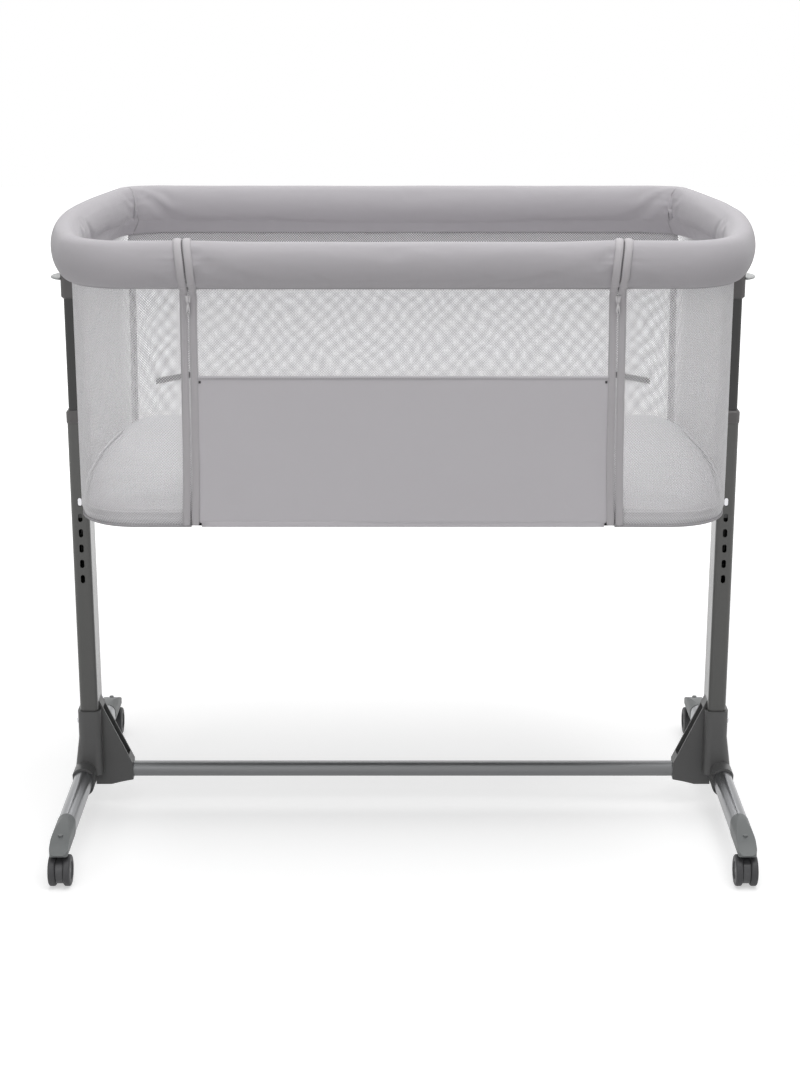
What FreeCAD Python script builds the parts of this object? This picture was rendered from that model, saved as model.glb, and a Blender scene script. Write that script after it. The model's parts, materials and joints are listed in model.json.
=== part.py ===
import FreeCAD, Part
import math
import os

from FreeCAD import Vector

os.makedirs("parts", exist_ok=True)

# Bedside sleeper crib. Millimetres, +Z up, origin on the floor under the middle of the crib.
# X runs along the crib, the side that drops towards the adult bed faces -Y.

# ---------------------------------------------------------------- padded rim
RIM_LENGTH = 920.0
RIM_DEPTH = 576.0
RIM_TOP = 859.0
PAD_WIDTH = 36.0
PAD_HEIGHT = 60.0
PAD_TIP_RADIUS = 14.0
RIM_CORNER_RADIUS = 77.0
RIM_END_RADIUS = 697.0
RIM_TUBE_RADIUS = 9.5
RIM_TUBE_WALL = 1.2
SOCKET_WALL = 1.7
SOCKET_LENGTH = 30.0
REAR_SEAM_ANGLE = 45.0

# ---------------------------------------------------------------- fabric basket
WALL_LENGTH = RIM_LENGTH - 60.0
WALL_DEPTH_TOP = RIM_DEPTH - 40.0
WALL_DEPTH_BOTTOM = WALL_DEPTH_TOP - 36.0
WALL_CORNER_RADIUS = 74.0
WALL_END_RADIUS = 690.0
FABRIC = 2.0
BASKET_BOTTOM = 490.0
HEM_RISE = 24.0
HEM_INSET = 14.0
PANEL_TOP = 687.0
ZIP_X = RIM_LENGTH / 2 - 195.0
TAPE_WIDTH = 10.5
TAPE_PROUD = 1.8
CORNER_TAPE_WIDTH = 8.0
SLIDER_DROP = 12.0
SLIDER_LENGTH = 10.0
SLIDER_WIDTH = 8.0
SLIDER_HEIGHT = 3.2
SLIDER_CORNER = 1.2
PULL_WIDTH = 5.0
PULL_LENGTH = 16.0
PULL_THICKNESS = 1.6
STRAP_START = ZIP_X + 33.0
STRAP_END = ZIP_X + 102.0
STRAP_HEIGHT = 8.0
STRAP_THICKNESS = 1.5
STRAP_LOW = 565.0
STRAP_RISE = 12.0

# ---------------------------------------------------------------- sleeping base
FLOOR_THICKNESS = 1.5
BOTTOM_TUBE_RADIUS = 6.0
BOTTOM_TUBE_WALL = 1.0
BOARD_THICKNESS = 5.0
MATTRESS_TOP = 522.0
MATTRESS_EDGE = 4.0

# ---------------------------------------------------------------- telescopic posts
POST_X = RIM_LENGTH / 2 - 14.3
LOWER_POST_WIDTH = 25.5
LOWER_POST_DEPTH = 52.0
LOWER_POST_TOP = 584.0
UPPER_POST_WIDTH = 20.6
UPPER_POST_DEPTH = 46.0
UPPER_POST_BOTTOM = 436.0
POST_WALL = 1.5
POST_CORNER_RADIUS = 6.0
SLOT_WIDTH = 6.0
SLOT_HEIGHT = 12.0
SLOT_TOP = 459.0
SLOT_PITCH = 22.2
SLOT_COUNT = 6
COLLAR_TOP = 588.0
COLLAR_LENGTH = 17.0
COLLAR_WALL = 1.0
COLLAR_CHAMFER = 2.5
RUNNING_GAP = 0.08

# ---------------------------------------------------------------- top brackets and release
BRACKET_BOTTOM = 742.0
BRACKET_WALL = 3.0
BRACKET_CHAMFER = 2.4
NECK_LENGTH = 30.0
NECK_WIDTH = 22.0
TAB_Z = 767.0
TAB_THICKNESS = 3.0
TAB_REACH = 14.0
TAB_LENGTH = 48.0
TAB_LIP_BELOW = 5.0
TAB_LIP_ABOVE = 8.0
TAB_TRAVEL = 8.0
TONGUE_WIDTH = 20.0
ROD_RADIUS = 2.5
ROD_HEAD_RADIUS = 4.5
ROD_HEAD_HEIGHT = 2.0
ROD_COLLAR_RADIUS = 5.5
ROD_COLLAR_Z = 690.0
SPRING_PLATE_Z = 738.0
SPRING_PLATE_THICKNESS = 2.0
SPRING_WIRE = 1.4
SPRING_CLEARANCE = 0.6
ROD_COLLAR_HEIGHT = 3.0
PIN_TRAVEL = 4.8
PIN_BODY = 12.0
PIN_TIP_WIDTH = 5.2
PIN_TIP_HEIGHT = 11.0
CAM_LENGTH = 8.0
CAM_THICKNESS = 3.6
CAM_OVERRUN = 2.0
CAM_STALK = 4.0
PIN_TAIL = 9.0

# ---------------------------------------------------------------- wheeled base
CROSS_BAR_RADIUS = 11.0
CROSS_BAR_WALL = 1.2
CROSS_BAR_Z = 53.5
CROSS_BAR_END = POST_X - 15.7
FOOT_X = POST_X + 8.3
FOOT_Z = 55.0
FOOT_WIDTH = 24.0
FOOT_HEIGHT = 35.0
FOOT_WALL = 1.5
SHOE_TOP = 151.0
SHOE_WALL = 3.5
SHOE_KNEE = 40.0
SHOE_SLEEVE_HALF = 56.0
SHOE_SCALLOP_RADIUS = 15.0
SHOE_FLARE_DEPTH = 4.0
TOE_X = POST_X - 57.7
TOE_WALL = 1.4
WEB_RISE = 12.0
WEB_HALF_DEPTH = 12.5
WEB_SKIN = 3.0
WEB_CHANNEL_DEPTH = 15.0
WEB_CHANNEL_MARGIN = 13.0
WEB_SAG = 11.0
CAP_WALL = 2.5
CAP_PROUD = 0.6
CAP_PLUG = 12.0
CAP_SEAM = 204.0
CAP_NOSE = 287.0
CAP_NOSE_Z = 49.0
CAP_NOSE_CORNER = 9.0
CAP_BROW_SHARE = 0.7
CAP_BROW_DROP = 10.0
CAP_UNDERSIDE = 46.0

# ---------------------------------------------------------------- casters
WHEEL_RADIUS = 21.0
WHEEL_WIDTH = 9.6
WHEEL_EDGE = 3.0
HUB_RADIUS = 12.5
HUB_RECESS = 1.6
HOUSING_WIDTH = 9.2
HOUSING_RADIUS = 17.5
HEEL_RADIUS = 7.0
HEEL_RISE = 4.0
WHEEL_GAP = 0.5
STEM_Y = 258.0
CASTER_TRAIL = 12.0
STEM_RADIUS = 3.2
STEM_ROOT = 8.0
STEM_TOP = 67.0
AXLE_RADIUS = 3.0
TURNTABLE_RADIUS = 9.0
TURNTABLE_GAP = 0.6
TURNTABLE_THICKNESS = 2.6

# ---------------------------------------------------------------- screws
SCREW_HEAD_RADIUS = 4.6
SCREW_HEAD_HEIGHT = 2.4
SCREW_SPACING = 24.0
SCREW_Z = SHOE_TOP - 18.0

# ---------------------------------------------------------------- clearances and derived sizes
FACE_GAP = 0.3
ZIP_GAP = 0.8
HINGE_GAP = 2.6
SWING_GAP = 2.0

RIM_Z = RIM_TOP - PAD_HEIGHT / 2
RIM_HALF_LENGTH = RIM_LENGTH / 2 - PAD_WIDTH / 2
RIM_HALF_DEPTH = RIM_DEPTH / 2 - PAD_WIDTH / 2
WALL_TOP = RIM_Z - RIM_TUBE_RADIUS - FACE_GAP
LOWER_POST_BOTTOM = FOOT_Z + FOOT_HEIGHT / 2 + SHOE_WALL
BOTTOM_TUBE_Z = BASKET_BOTTOM + FLOOR_THICKNESS + BOTTOM_TUBE_RADIUS + FACE_GAP
BOARD_BOTTOM = BASKET_BOTTOM + FLOOR_THICKNESS
BOARD_TOP = BOARD_BOTTOM + BOARD_THICKNESS
TUBE_INSET = FABRIC + BOTTOM_TUBE_RADIUS + FACE_GAP + HEM_INSET
BRACKET_OUTER_X = POST_X + UPPER_POST_WIDTH / 2 + BRACKET_WALL
CASTER_HALF_WIDTH = HOUSING_WIDTH / 2 + WHEEL_GAP + WHEEL_WIDTH
CASTER_SWING = math.hypot(CASTER_TRAIL + WHEEL_RADIUS, CASTER_HALF_WIDTH)
CAP_STEP = STEM_Y - CASTER_SWING - SWING_GAP
FOOT_HALF_LENGTH = CAP_STEP - 2 * CAP_WALL
SHOE_FLARE = FOOT_X + FOOT_WIDTH / 2 - POST_X - LOWER_POST_WIDTH / 2


def export(shape, node):
    """Write one piece to its own file."""
    shape.exportStep("parts/" + node + ".step")


def box(x0, x1, y0, y1, z0, z1):
    """Box between two opposite corners."""
    return Part.makeBox(x1 - x0, y1 - y0, z1 - z0, Vector(x0, y0, z0))


def cylinder(radius, start, end):
    """Round bar from one point to another."""
    run = end - start
    return Part.makeCylinder(radius, run.Length, start, run)


def mirrored(shape):
    """The same piece on the other end of the crib."""
    return shape.mirror(Vector(0, 0, 0), Vector(1, 0, 0))


def to_rear(shape):
    """The same piece on the rear half of the crib."""
    return shape.mirror(Vector(0, 0, 0), Vector(0, 1, 0))


def cleaned(shape):
    """One tidy solid, or a group of them, without leftover seams."""
    return shape.removeSplitter()


def rounded_rectangle(width, depth, radius, centre):
    """Upright rectangle wire with round corners in a level plane."""
    hw = width / 2 - radius
    hd = depth / 2 - radius
    edges = []
    corners = [(hw, hd, 0), (-hw, hd, 90), (-hw, -hd, 180), (hw, -hd, 270)]
    for index, (cx, cy, start) in enumerate(corners):
        arc = Part.makeCircle(radius, centre + Vector(cx, cy, 0), Vector(0, 0, 1), start, start + 90)
        following = corners[(index + 1) % 4]
        turn = math.radians(start + 90)
        reach = Vector(radius * math.cos(turn), radius * math.sin(turn), 0)
        edges.append(arc)
        edges.append(Part.makeLine(centre + Vector(cx, cy, 0) + reach,
                                   centre + Vector(following[0], following[1], 0) + reach))
    return Part.Wire(edges)


def rounded_bar(width, depth, radius, x, z0, z1):
    """Solid upright bar of rounded rectangular section, centred on y = 0."""
    wire = rounded_rectangle(width, depth, radius, Vector(x, 0, z0))
    return Part.Face(wire).extrude(Vector(0, 0, z1 - z0))


class Plan:
    """Bowed-end plan: straight long sides, four corner arcs and two shallow end arcs."""

    def __init__(self, half_length, half_depth, corner_radius, end_radius):
        self.half_length = half_length
        self.half_depth = half_depth
        self.corner_radius = corner_radius
        self.end_radius = end_radius
        self.end_x = half_length - end_radius
        self.corner_y = half_depth - corner_radius
        span = math.sqrt((end_radius - corner_radius) ** 2 - self.corner_y ** 2)
        self.corner_x = self.end_x + span
        self.tangent = math.degrees(math.atan2(self.corner_y, span))

    def inset(self, amount):
        """The same plan moved inwards."""
        return Plan(self.half_length - amount, self.half_depth - amount,
                    self.corner_radius - amount, self.end_radius - amount)

    def wire(self, z):
        """Closed wire at one height."""
        up = Vector(0, 0, 1)
        t = self.tangent
        right = Vector(self.end_x, 0, z)
        left = Vector(-self.end_x, 0, z)
        cx, cy, radius = self.corner_x, self.corner_y, self.corner_radius
        depth = self.half_depth
        edges = [Part.makeCircle(self.end_radius, right, up, -t, t),
                 Part.makeCircle(radius, Vector(cx, cy, z), up, t, 90),
                 Part.makeLine(Vector(cx, depth, z), Vector(-cx, depth, z)),
                 Part.makeCircle(radius, Vector(-cx, cy, z), up, 90, 180 - t),
                 Part.makeCircle(self.end_radius, left, up, 180 - t, 180 + t),
                 Part.makeCircle(radius, Vector(-cx, -cy, z), up, 180 + t, 270),
                 Part.makeLine(Vector(-cx, -depth, z), Vector(cx, -depth, z)),
                 Part.makeCircle(radius, Vector(cx, -cy, z), up, 270, 360 - t)]
        return Part.Wire(edges)

    def slab(self, z0, z1):
        """Level plate of this plan."""
        return Part.Face(self.wire(z0)).extrude(Vector(0, 0, z1 - z0))

    def end_path(self, front_x, seam_angle):
        """Right-hand run from the front, around the end, to a seam on the rear corner."""
        t = self.tangent
        front_corner = Vector(self.corner_x, -self.corner_y, 0)
        rear_corner = Vector(self.corner_x, self.corner_y, 0)
        return [("line", Vector(front_x, -self.half_depth, 0), Vector(self.corner_x, -self.half_depth, 0)),
                ("arc", front_corner, self.corner_radius, -90, -t),
                ("arc", Vector(self.end_x, 0, 0), self.end_radius, -t, t),
                ("arc", rear_corner, self.corner_radius, t, seam_angle)]

    def rear_path(self, seam_angle):
        """Run along the rear between two corner seams."""
        right = Vector(self.corner_x, self.corner_y, 0)
        left = Vector(-self.corner_x, self.corner_y, 0)
        line = ("line", Vector(self.corner_x, self.half_depth, 0), Vector(-self.corner_x, self.half_depth, 0))
        if seam_angle >= 90:
            return [line]
        return [("arc", right, self.corner_radius, seam_angle, 90), line,
                ("arc", left, self.corner_radius, 90, 180 - seam_angle)]

    def front_path(self, half_run):
        """Straight run along the front."""
        return [("line", Vector(-half_run, -self.half_depth, 0), Vector(half_run, -self.half_depth, 0))]


def ring_face(make_wire, origin, outward):
    """Face in an upright plane from (outer, inner) wires drawn about a point."""
    outer, inner = make_wire(origin, outward)
    if inner is None:
        return Part.Face(outer)
    return Part.makeFace([outer, inner], "Part::FaceMakerBullseye")


def swept(path, height, make_wire):
    """Sweep an upright section along level lines and arcs, exact at every tangent joint."""
    lift = Vector(0, 0, height)
    pieces = []
    for leg in path:
        if leg[0] == "line":
            run = leg[2] - leg[1]
            outward = Vector(run.y, -run.x, 0).normalize()
            face = ring_face(make_wire, leg[1] + lift, outward)
            pieces.append(face.extrude(run))
        else:
            centre, radius, start, end = leg[1:]
            turn = math.radians(start)
            outward = Vector(math.cos(turn), math.sin(turn), 0)
            face = ring_face(make_wire, centre + lift + outward * radius, outward)
            pieces.append(face.revolve(centre + lift, Vector(0, 0, 1), end - start))
    solid = pieces[0]
    if len(pieces) > 1:
        solid = pieces[0].fuse(pieces[1:])
    return cleaned(solid)


def round_section(radius, wall):
    """Round tube section; no wall gives a solid one."""
    def make(origin, outward):
        along = Vector(0, 0, 1).cross(outward)
        outer = Part.Wire(Part.makeCircle(radius, origin, along))
        if wall is None:
            return outer, None
        return outer, Part.Wire(Part.makeCircle(radius - wall, origin, along))
    return make


def oval_wire(half_width, half_height, tip_radius, origin, outward):
    """Upright four-arc oval: tight arcs at top and bottom, flat arcs on the flanks."""
    rise = half_height - tip_radius
    flank = (half_width ** 2 - tip_radius ** 2 + rise ** 2) / (2 * (half_width - tip_radius))
    lean = math.atan2(rise, flank - half_width)
    up = Vector(0, 0, 1)

    def at(centre_u, centre_v, radius, angle):
        return (origin + outward * (centre_u + radius * math.cos(angle))
                + up * (centre_v + radius * math.sin(angle)))

    def arc(centre_u, centre_v, radius, start, end):
        middle = (start + end) / 2
        return Part.Arc(at(centre_u, centre_v, radius, start), at(centre_u, centre_v, radius, middle),
                        at(centre_u, centre_v, radius, end)).toShape()

    offset = half_width - flank
    return Part.Wire([arc(offset, 0, flank, -lean, lean),
                      arc(0, rise, tip_radius, lean, math.pi - lean),
                      arc(-offset, 0, flank, math.pi - lean, math.pi + lean),
                      arc(0, -rise, tip_radius, math.pi + lean, 2 * math.pi - lean)])


def pad_section(grow, bore_radius):
    """Oval padding around the rim tube."""
    def make(origin, outward):
        outer = oval_wire(PAD_WIDTH / 2 + grow, PAD_HEIGHT / 2 + grow, PAD_TIP_RADIUS + grow, origin, outward)
        if bore_radius is None:
            return outer, None
        along = Vector(0, 0, 1).cross(outward)
        return outer, Part.Wire(Part.makeCircle(bore_radius, origin, along))
    return make


rim_plan = Plan(RIM_HALF_LENGTH, RIM_HALF_DEPTH, RIM_CORNER_RADIUS, RIM_END_RADIUS)
floor_plan = Plan(WALL_LENGTH / 2, WALL_DEPTH_BOTTOM / 2, WALL_CORNER_RADIUS, WALL_END_RADIUS)


# ================================================================ rim
def rim_envelope(grow):
    """Outer shape of the whole padded rim, slightly grown."""
    section = pad_section(grow, None)
    right = swept(rim_plan.end_path(0, 90), RIM_Z, section)
    rear = swept(rim_plan.rear_path(90), RIM_Z, section)
    return right.fuse([mirrored(right), rear])


def neck_box(grow):
    """Block of the top bracket that reaches up into the padding."""
    x = RIM_HALF_LENGTH
    return box(x - NECK_WIDTH / 2 - grow, x + NECK_WIDTH / 2 + grow,
               -NECK_LENGTH / 2 - grow, NECK_LENGTH / 2 + grow,
               RIM_Z - PAD_HEIGHT / 2 - FACE_GAP, RIM_Z + grow)


def socket_shell(front_x):
    """Half-round seat, open towards the front, that backs the end of the drop-side rail."""
    inner = RIM_TUBE_RADIUS + FACE_GAP
    start = Vector(front_x - SOCKET_LENGTH, -RIM_HALF_DEPTH, RIM_Z)
    end = Vector(front_x + SOCKET_LENGTH, -RIM_HALF_DEPTH, RIM_Z)
    shell = cylinder(inner + SOCKET_WALL, start, end)
    shell = shell.cut(cylinder(inner, start, Vector(front_x, -RIM_HALF_DEPTH, RIM_Z)))
    shell = shell.cut(cylinder(RIM_TUBE_RADIUS, start, end))
    front = box(start.x, front_x, -RIM_DEPTH, -RIM_HALF_DEPTH, 0, RIM_TOP)
    return shell.cut(front)


def rim_frame():
    """Steel rim tube around the ends and the rear, with seats for the drop-side rail."""
    section = round_section(RIM_TUBE_RADIUS, RIM_TUBE_WALL)
    right = swept(rim_plan.end_path(ZIP_X + ZIP_GAP / 2, 90), RIM_Z, section)
    rear = swept(rim_plan.rear_path(90), RIM_Z, section)
    seat = socket_shell(ZIP_X + ZIP_GAP / 2)
    return cleaned(right.fuse([mirrored(right), rear, seat, mirrored(seat)]))


def socket_pocket(front_x):
    """Room in the padding for the rail seat."""
    radius = RIM_TUBE_RADIUS + FACE_GAP + SOCKET_WALL + FACE_GAP
    return cylinder(radius, Vector(front_x - SOCKET_LENGTH - FACE_GAP, -RIM_HALF_DEPTH, RIM_Z),
                    Vector(front_x + SOCKET_LENGTH + FACE_GAP, -RIM_HALF_DEPTH, RIM_Z))


def rim_pad_end():
    """Padding from the zip around the right end to the rear corner seam."""
    front_x = ZIP_X + ZIP_GAP / 2
    pad = swept(rim_plan.end_path(front_x, REAR_SEAM_ANGLE), RIM_Z,
                pad_section(0, RIM_TUBE_RADIUS + FACE_GAP))
    return pad.cut([neck_box(FACE_GAP), socket_pocket(front_x)])


def rim_pad_rear():
    """Padding along the rear between the corner seams."""
    return swept(rim_plan.rear_path(REAR_SEAM_ANGLE), RIM_Z, pad_section(0, RIM_TUBE_RADIUS + FACE_GAP))


def front_rail():
    """Steel rail in the top edge of the drop side."""
    end = ZIP_X - ZIP_GAP / 2
    return swept(rim_plan.front_path(end), RIM_Z, round_section(RIM_TUBE_RADIUS, RIM_TUBE_WALL))


def front_rim_pad():
    """Padding over the drop-side rail, relieved behind for the rail seats."""
    end = ZIP_X - ZIP_GAP / 2
    pad = swept(rim_plan.front_path(end), RIM_Z, pad_section(0, RIM_TUBE_RADIUS + FACE_GAP))
    reach = SOCKET_LENGTH + FACE_GAP
    radius = RIM_TUBE_RADIUS + 2 * FACE_GAP + SOCKET_WALL
    for side in (-1, 1):
        x0, x1 = sorted((side * end, side * (end - reach)))
        drop = box(x0, x1, -RIM_HALF_DEPTH - FACE_GAP, 0, RIM_Z - radius, RIM_Z + radius)
        pad = pad.cut(drop)
    return pad


# ================================================================ basket
def basket_solid(inset):
    """Basket outline with a softly drawn-in hem, moved inwards by a thickness."""
    def station(z, draw):
        share = (z - BASKET_BOTTOM) / (WALL_TOP - BASKET_BOTTOM)
        depth = WALL_DEPTH_BOTTOM + (WALL_DEPTH_TOP - WALL_DEPTH_BOTTOM) * share
        return Plan(WALL_LENGTH / 2 - draw - inset, depth / 2 - inset,
                    WALL_CORNER_RADIUS - inset, WALL_END_RADIUS - inset).wire(z)
    hem_mid = BASKET_BOTTOM + HEM_RISE * 0.35
    levels = [station(BASKET_BOTTOM, HEM_INSET), station(hem_mid, HEM_INSET * 0.35),
              station(BASKET_BOTTOM + HEM_RISE, 0), station(WALL_TOP, 0)]
    return Part.makeLoft(levels, True, True)


def basket_shell():
    """Thin fabric wall all around, trimmed under the rim padding."""
    shell = basket_solid(0).cut(basket_solid(FABRIC))
    return shell.cut(rim_envelope(FACE_GAP))


def seam_wedge():
    """Everything behind the rear corner seams."""
    turn = math.radians(REAR_SEAM_ANGLE)
    plan = floor_plan
    start = Vector(plan.corner_x, plan.corner_y, 0)
    out = start + Vector(math.cos(turn), math.sin(turn), 0) * RIM_LENGTH
    points = [start, out, Vector(out.x, out.y + RIM_DEPTH, 0), Vector(-out.x, out.y + RIM_DEPTH, 0),
              Vector(-out.x, out.y, 0), Vector(-start.x, start.y, 0), start]
    return Part.Face(Part.makePolygon(points)).extrude(Vector(0, 0, RIM_TOP))


def front_window_box(half, z0, z1):
    """Front part of the shell between the zips."""
    return box(-half, half, -RIM_DEPTH, -WALL_DEPTH_BOTTOM / 2 + WALL_CORNER_RADIUS, z0, z1)


def front_slope(z):
    """Outer face of the front wall at one height."""
    share = (z - BASKET_BOTTOM) / (WALL_TOP - BASKET_BOTTOM)
    return (WALL_DEPTH_BOTTOM + (WALL_DEPTH_TOP - WALL_DEPTH_BOTTOM) * share) / 2


def front_strip(x0, x1, z0, z1, lift, thick):
    """Strip on the sloping front wall."""
    loops = []
    for z in (z0, z1):
        y = -front_slope(z) - lift
        loops.append(Part.makePolygon([Vector(x0, y, z), Vector(x1, y, z), Vector(x1, y - thick, z),
                                       Vector(x0, y - thick, z), Vector(x0, y, z)]))
    return Part.makeLoft(loops, True, True)


def corner_tape():
    """Binding tape down the right rear corner seam."""
    turn = math.radians(REAR_SEAM_ANGLE)
    out = Vector(math.cos(turn), math.sin(turn), 0)
    side = Vector(-out.y, out.x, 0) * (CORNER_TAPE_WIDTH / 2)
    loops = []
    for z in (BASKET_BOTTOM + HEM_RISE, WALL_TOP - PAD_HEIGHT / 3):
        plan = Plan(WALL_LENGTH / 2, front_slope(z), WALL_CORNER_RADIUS, WALL_END_RADIUS)
        foot = Vector(plan.corner_x, plan.corner_y, z) + out * (WALL_CORNER_RADIUS + FACE_GAP)
        head = foot + out * STRAP_THICKNESS
        loops.append(Part.makePolygon([foot - side, foot + side, head + side, head - side, foot - side]))
    return Part.makeLoft(loops, True, True)


def seam_tapes():
    """Corner bindings and the zip halves on the fixed walls."""
    x0 = ZIP_X + ZIP_GAP / 2
    low = BASKET_BOTTOM + FACE_GAP
    high = RIM_Z - PAD_HEIGHT / 2 - FACE_GAP
    zip_half = front_strip(x0, x0 + TAPE_WIDTH, low, high, 0, TAPE_PROUD)
    corner = corner_tape()
    return Part.makeCompound([zip_half, mirrored(zip_half), corner, mirrored(corner)])


def zip_tapes():
    """Zip halves on the drop side."""
    x1 = ZIP_X - ZIP_GAP / 2
    low = BASKET_BOTTOM + HINGE_GAP
    high = RIM_Z - PAD_HEIGHT / 2 - FACE_GAP
    half = front_strip(x1 - TAPE_WIDTH, x1, low, high, 0, TAPE_PROUD)
    return Part.makeCompound([half, mirrored(half)])


def rear_straps():
    """Two dark webbing straps along the inside of the rear wall, rising towards the middle."""
    outer = FABRIC + FACE_GAP
    band = basket_solid(outer).cut(basket_solid(outer + STRAP_THICKNESS))
    high = STRAP_LOW + STRAP_RISE
    outline = [Vector(STRAP_START, 0, high), Vector(STRAP_END, 0, STRAP_LOW),
               Vector(STRAP_END, 0, STRAP_LOW + STRAP_HEIGHT), Vector(STRAP_START, 0, high + STRAP_HEIGHT)]
    window = Part.Face(Part.makePolygon(outline + outline[:1])).extrude(Vector(0, RIM_DEPTH, 0))
    strap = band.common(window)
    return Part.makeCompound([strap, mirrored(strap)])


def zip_slider():
    """Zip slider with its hanging pull, in front of the right-hand zip."""
    top = RIM_Z - PAD_HEIGHT / 2 - SLIDER_DROP
    low = top - SLIDER_LENGTH
    x = ZIP_X - ZIP_GAP / 2 - SLIDER_WIDTH / 4
    back = -front_slope(top) - TAPE_PROUD - FACE_GAP
    face = back - SLIDER_HEIGHT
    body = box(x - SLIDER_WIDTH / 2, x + SLIDER_WIDTH / 2, face, back, low, top)
    edges = [e for e in body.Edges if abs(e.tangentAt(e.FirstParameter).y) > 0.9]
    body = body.makeFillet(SLIDER_CORNER, edges)
    pull = box(x - PULL_WIDTH / 2, x + PULL_WIDTH / 2, face - PULL_THICKNESS, face,
               low - PULL_LENGTH, top - SLIDER_LENGTH * 0.4)
    return cleaned(body.fuse(pull))


def bottom_frame():
    """Round stiffening hoop in the hem of the basket."""
    plan = floor_plan.inset(TUBE_INSET)
    section = round_section(BOTTOM_TUBE_RADIUS, BOTTOM_TUBE_WALL)
    right = swept(plan.end_path(0, 90), BOTTOM_TUBE_Z, section)
    rear = swept(plan.rear_path(90), BOTTOM_TUBE_Z, section)
    return cleaned(right.fuse([mirrored(right), rear]))


def floor_cover():
    """Fabric floor under the board."""
    return floor_plan.inset(HEM_INSET + FABRIC + FACE_GAP).slab(BASKET_BOTTOM, BOARD_BOTTOM)


def base_board():
    """Stiff board inside the hoop."""
    inset = TUBE_INSET + BOTTOM_TUBE_RADIUS + FACE_GAP
    return floor_plan.inset(inset).slab(BOARD_BOTTOM, BOARD_TOP)


def mattress():
    """Foam mattress that steps over the hoop."""
    hoop_top = BOTTOM_TUBE_Z + BOTTOM_TUBE_RADIUS + FACE_GAP
    hoop_inside = TUBE_INSET + BOTTOM_TUBE_RADIUS + FACE_GAP
    side = floor_plan.inset(MATTRESS_EDGE + HEM_INSET / 2)
    top = Part.makeLoft([side.wire(hoop_top), floor_plan.inset(MATTRESS_EDGE).wire(hoop_top + HEM_INSET),
                         floor_plan.inset(MATTRESS_EDGE).wire(MATTRESS_TOP)], True, True)
    core = floor_plan.inset(hoop_inside).slab(BOARD_TOP, hoop_top)
    return cleaned(top.fuse(core))


# ================================================================ posts
def slots():
    """Row of locking slots through the front face of the lower post."""
    cuts = []
    for index in range(SLOT_COUNT):
        z = SLOT_TOP - index * SLOT_PITCH
        straight = SLOT_HEIGHT - SLOT_WIDTH
        slot = box(POST_X - SLOT_WIDTH / 2, POST_X + SLOT_WIDTH / 2, -LOWER_POST_DEPTH, 0,
                   z - straight / 2, z + straight / 2)
        for end in (-1, 1):
            centre = Vector(POST_X, 0, z + end * straight / 2)
            slot = slot.fuse(cylinder(SLOT_WIDTH / 2, centre, centre - Vector(0, LOWER_POST_DEPTH, 0)))
        cuts.append(slot)
    return cuts


def lower_post():
    """Outer telescopic tube with its locking slots."""
    outer = rounded_bar(LOWER_POST_WIDTH, LOWER_POST_DEPTH, POST_CORNER_RADIUS, POST_X,
                        LOWER_POST_BOTTOM, LOWER_POST_TOP)
    inner = rounded_bar(LOWER_POST_WIDTH - 2 * POST_WALL, LOWER_POST_DEPTH - 2 * POST_WALL,
                        POST_CORNER_RADIUS - POST_WALL, POST_X, LOWER_POST_BOTTOM, LOWER_POST_TOP)
    return outer.cut([inner] + slots())


def post_collar():
    """Moulded guide ring on top of the lower post."""
    outer = rounded_bar(LOWER_POST_WIDTH + 2 * COLLAR_WALL, LOWER_POST_DEPTH + 2 * COLLAR_WALL,
                        POST_CORNER_RADIUS + COLLAR_WALL, POST_X, COLLAR_TOP - COLLAR_LENGTH, COLLAR_TOP)
    rim = [edge for edge in outer.Edges if edge.BoundBox.ZMin > COLLAR_TOP - 0.01]
    outer = outer.makeChamfer(COLLAR_CHAMFER, rim)
    post = rounded_bar(LOWER_POST_WIDTH, LOWER_POST_DEPTH, POST_CORNER_RADIUS, POST_X,
                       COLLAR_TOP - COLLAR_LENGTH, LOWER_POST_TOP)
    bore = rounded_bar(UPPER_POST_WIDTH + 2 * RUNNING_GAP, UPPER_POST_DEPTH + 2 * RUNNING_GAP,
                       POST_CORNER_RADIUS - POST_WALL, POST_X, COLLAR_TOP - COLLAR_LENGTH, COLLAR_TOP)
    return outer.cut([post, bore])


def tab_slot(length, grow):
    """Slot through the outer wall that the release tab moves in."""
    return box(POST_X + UPPER_POST_WIDTH / 2 - POST_WALL - 1, BRACKET_OUTER_X + 1,
               -length / 2 - grow, length / 2 + grow,
               TAB_Z - grow, TAB_Z + TAB_THICKNESS + TAB_TRAVEL + grow)


def upper_post_top():
    """Height where the inner tube ends under the rim tube."""
    return RIM_Z - PAD_HEIGHT / 2 - BRACKET_WALL


def upper_post():
    """Inner telescopic tube with the spring plate and the lock-pin hole."""
    top = upper_post_top()
    outer = rounded_bar(UPPER_POST_WIDTH, UPPER_POST_DEPTH, POST_CORNER_RADIUS - POST_WALL, POST_X,
                        UPPER_POST_BOTTOM, top)
    inner = rounded_bar(UPPER_POST_WIDTH - 2 * POST_WALL, UPPER_POST_DEPTH - 2 * POST_WALL,
                        POST_CORNER_RADIUS - 2 * POST_WALL, POST_X, UPPER_POST_BOTTOM, top)
    tube = outer.cut(inner)
    plate = inner.common(box(0, RIM_LENGTH, -RIM_DEPTH, RIM_DEPTH, SPRING_PLATE_Z,
                             SPRING_PLATE_Z + SPRING_PLATE_THICKNESS))
    plate = plate.cut(cylinder(ROD_RADIUS + FACE_GAP, Vector(POST_X, 0, SPRING_PLATE_Z - 1),
                               Vector(POST_X, 0, SPRING_PLATE_Z + SPRING_PLATE_THICKNESS + 1)))
    tube = cleaned(tube.fuse(plate))
    hole = pin_tip(RUNNING_GAP, -LOWER_POST_DEPTH, -UPPER_POST_DEPTH / 2 + POST_WALL + 1)
    return tube.cut([hole, tab_slot(TONGUE_WIDTH, FACE_GAP)])


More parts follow.
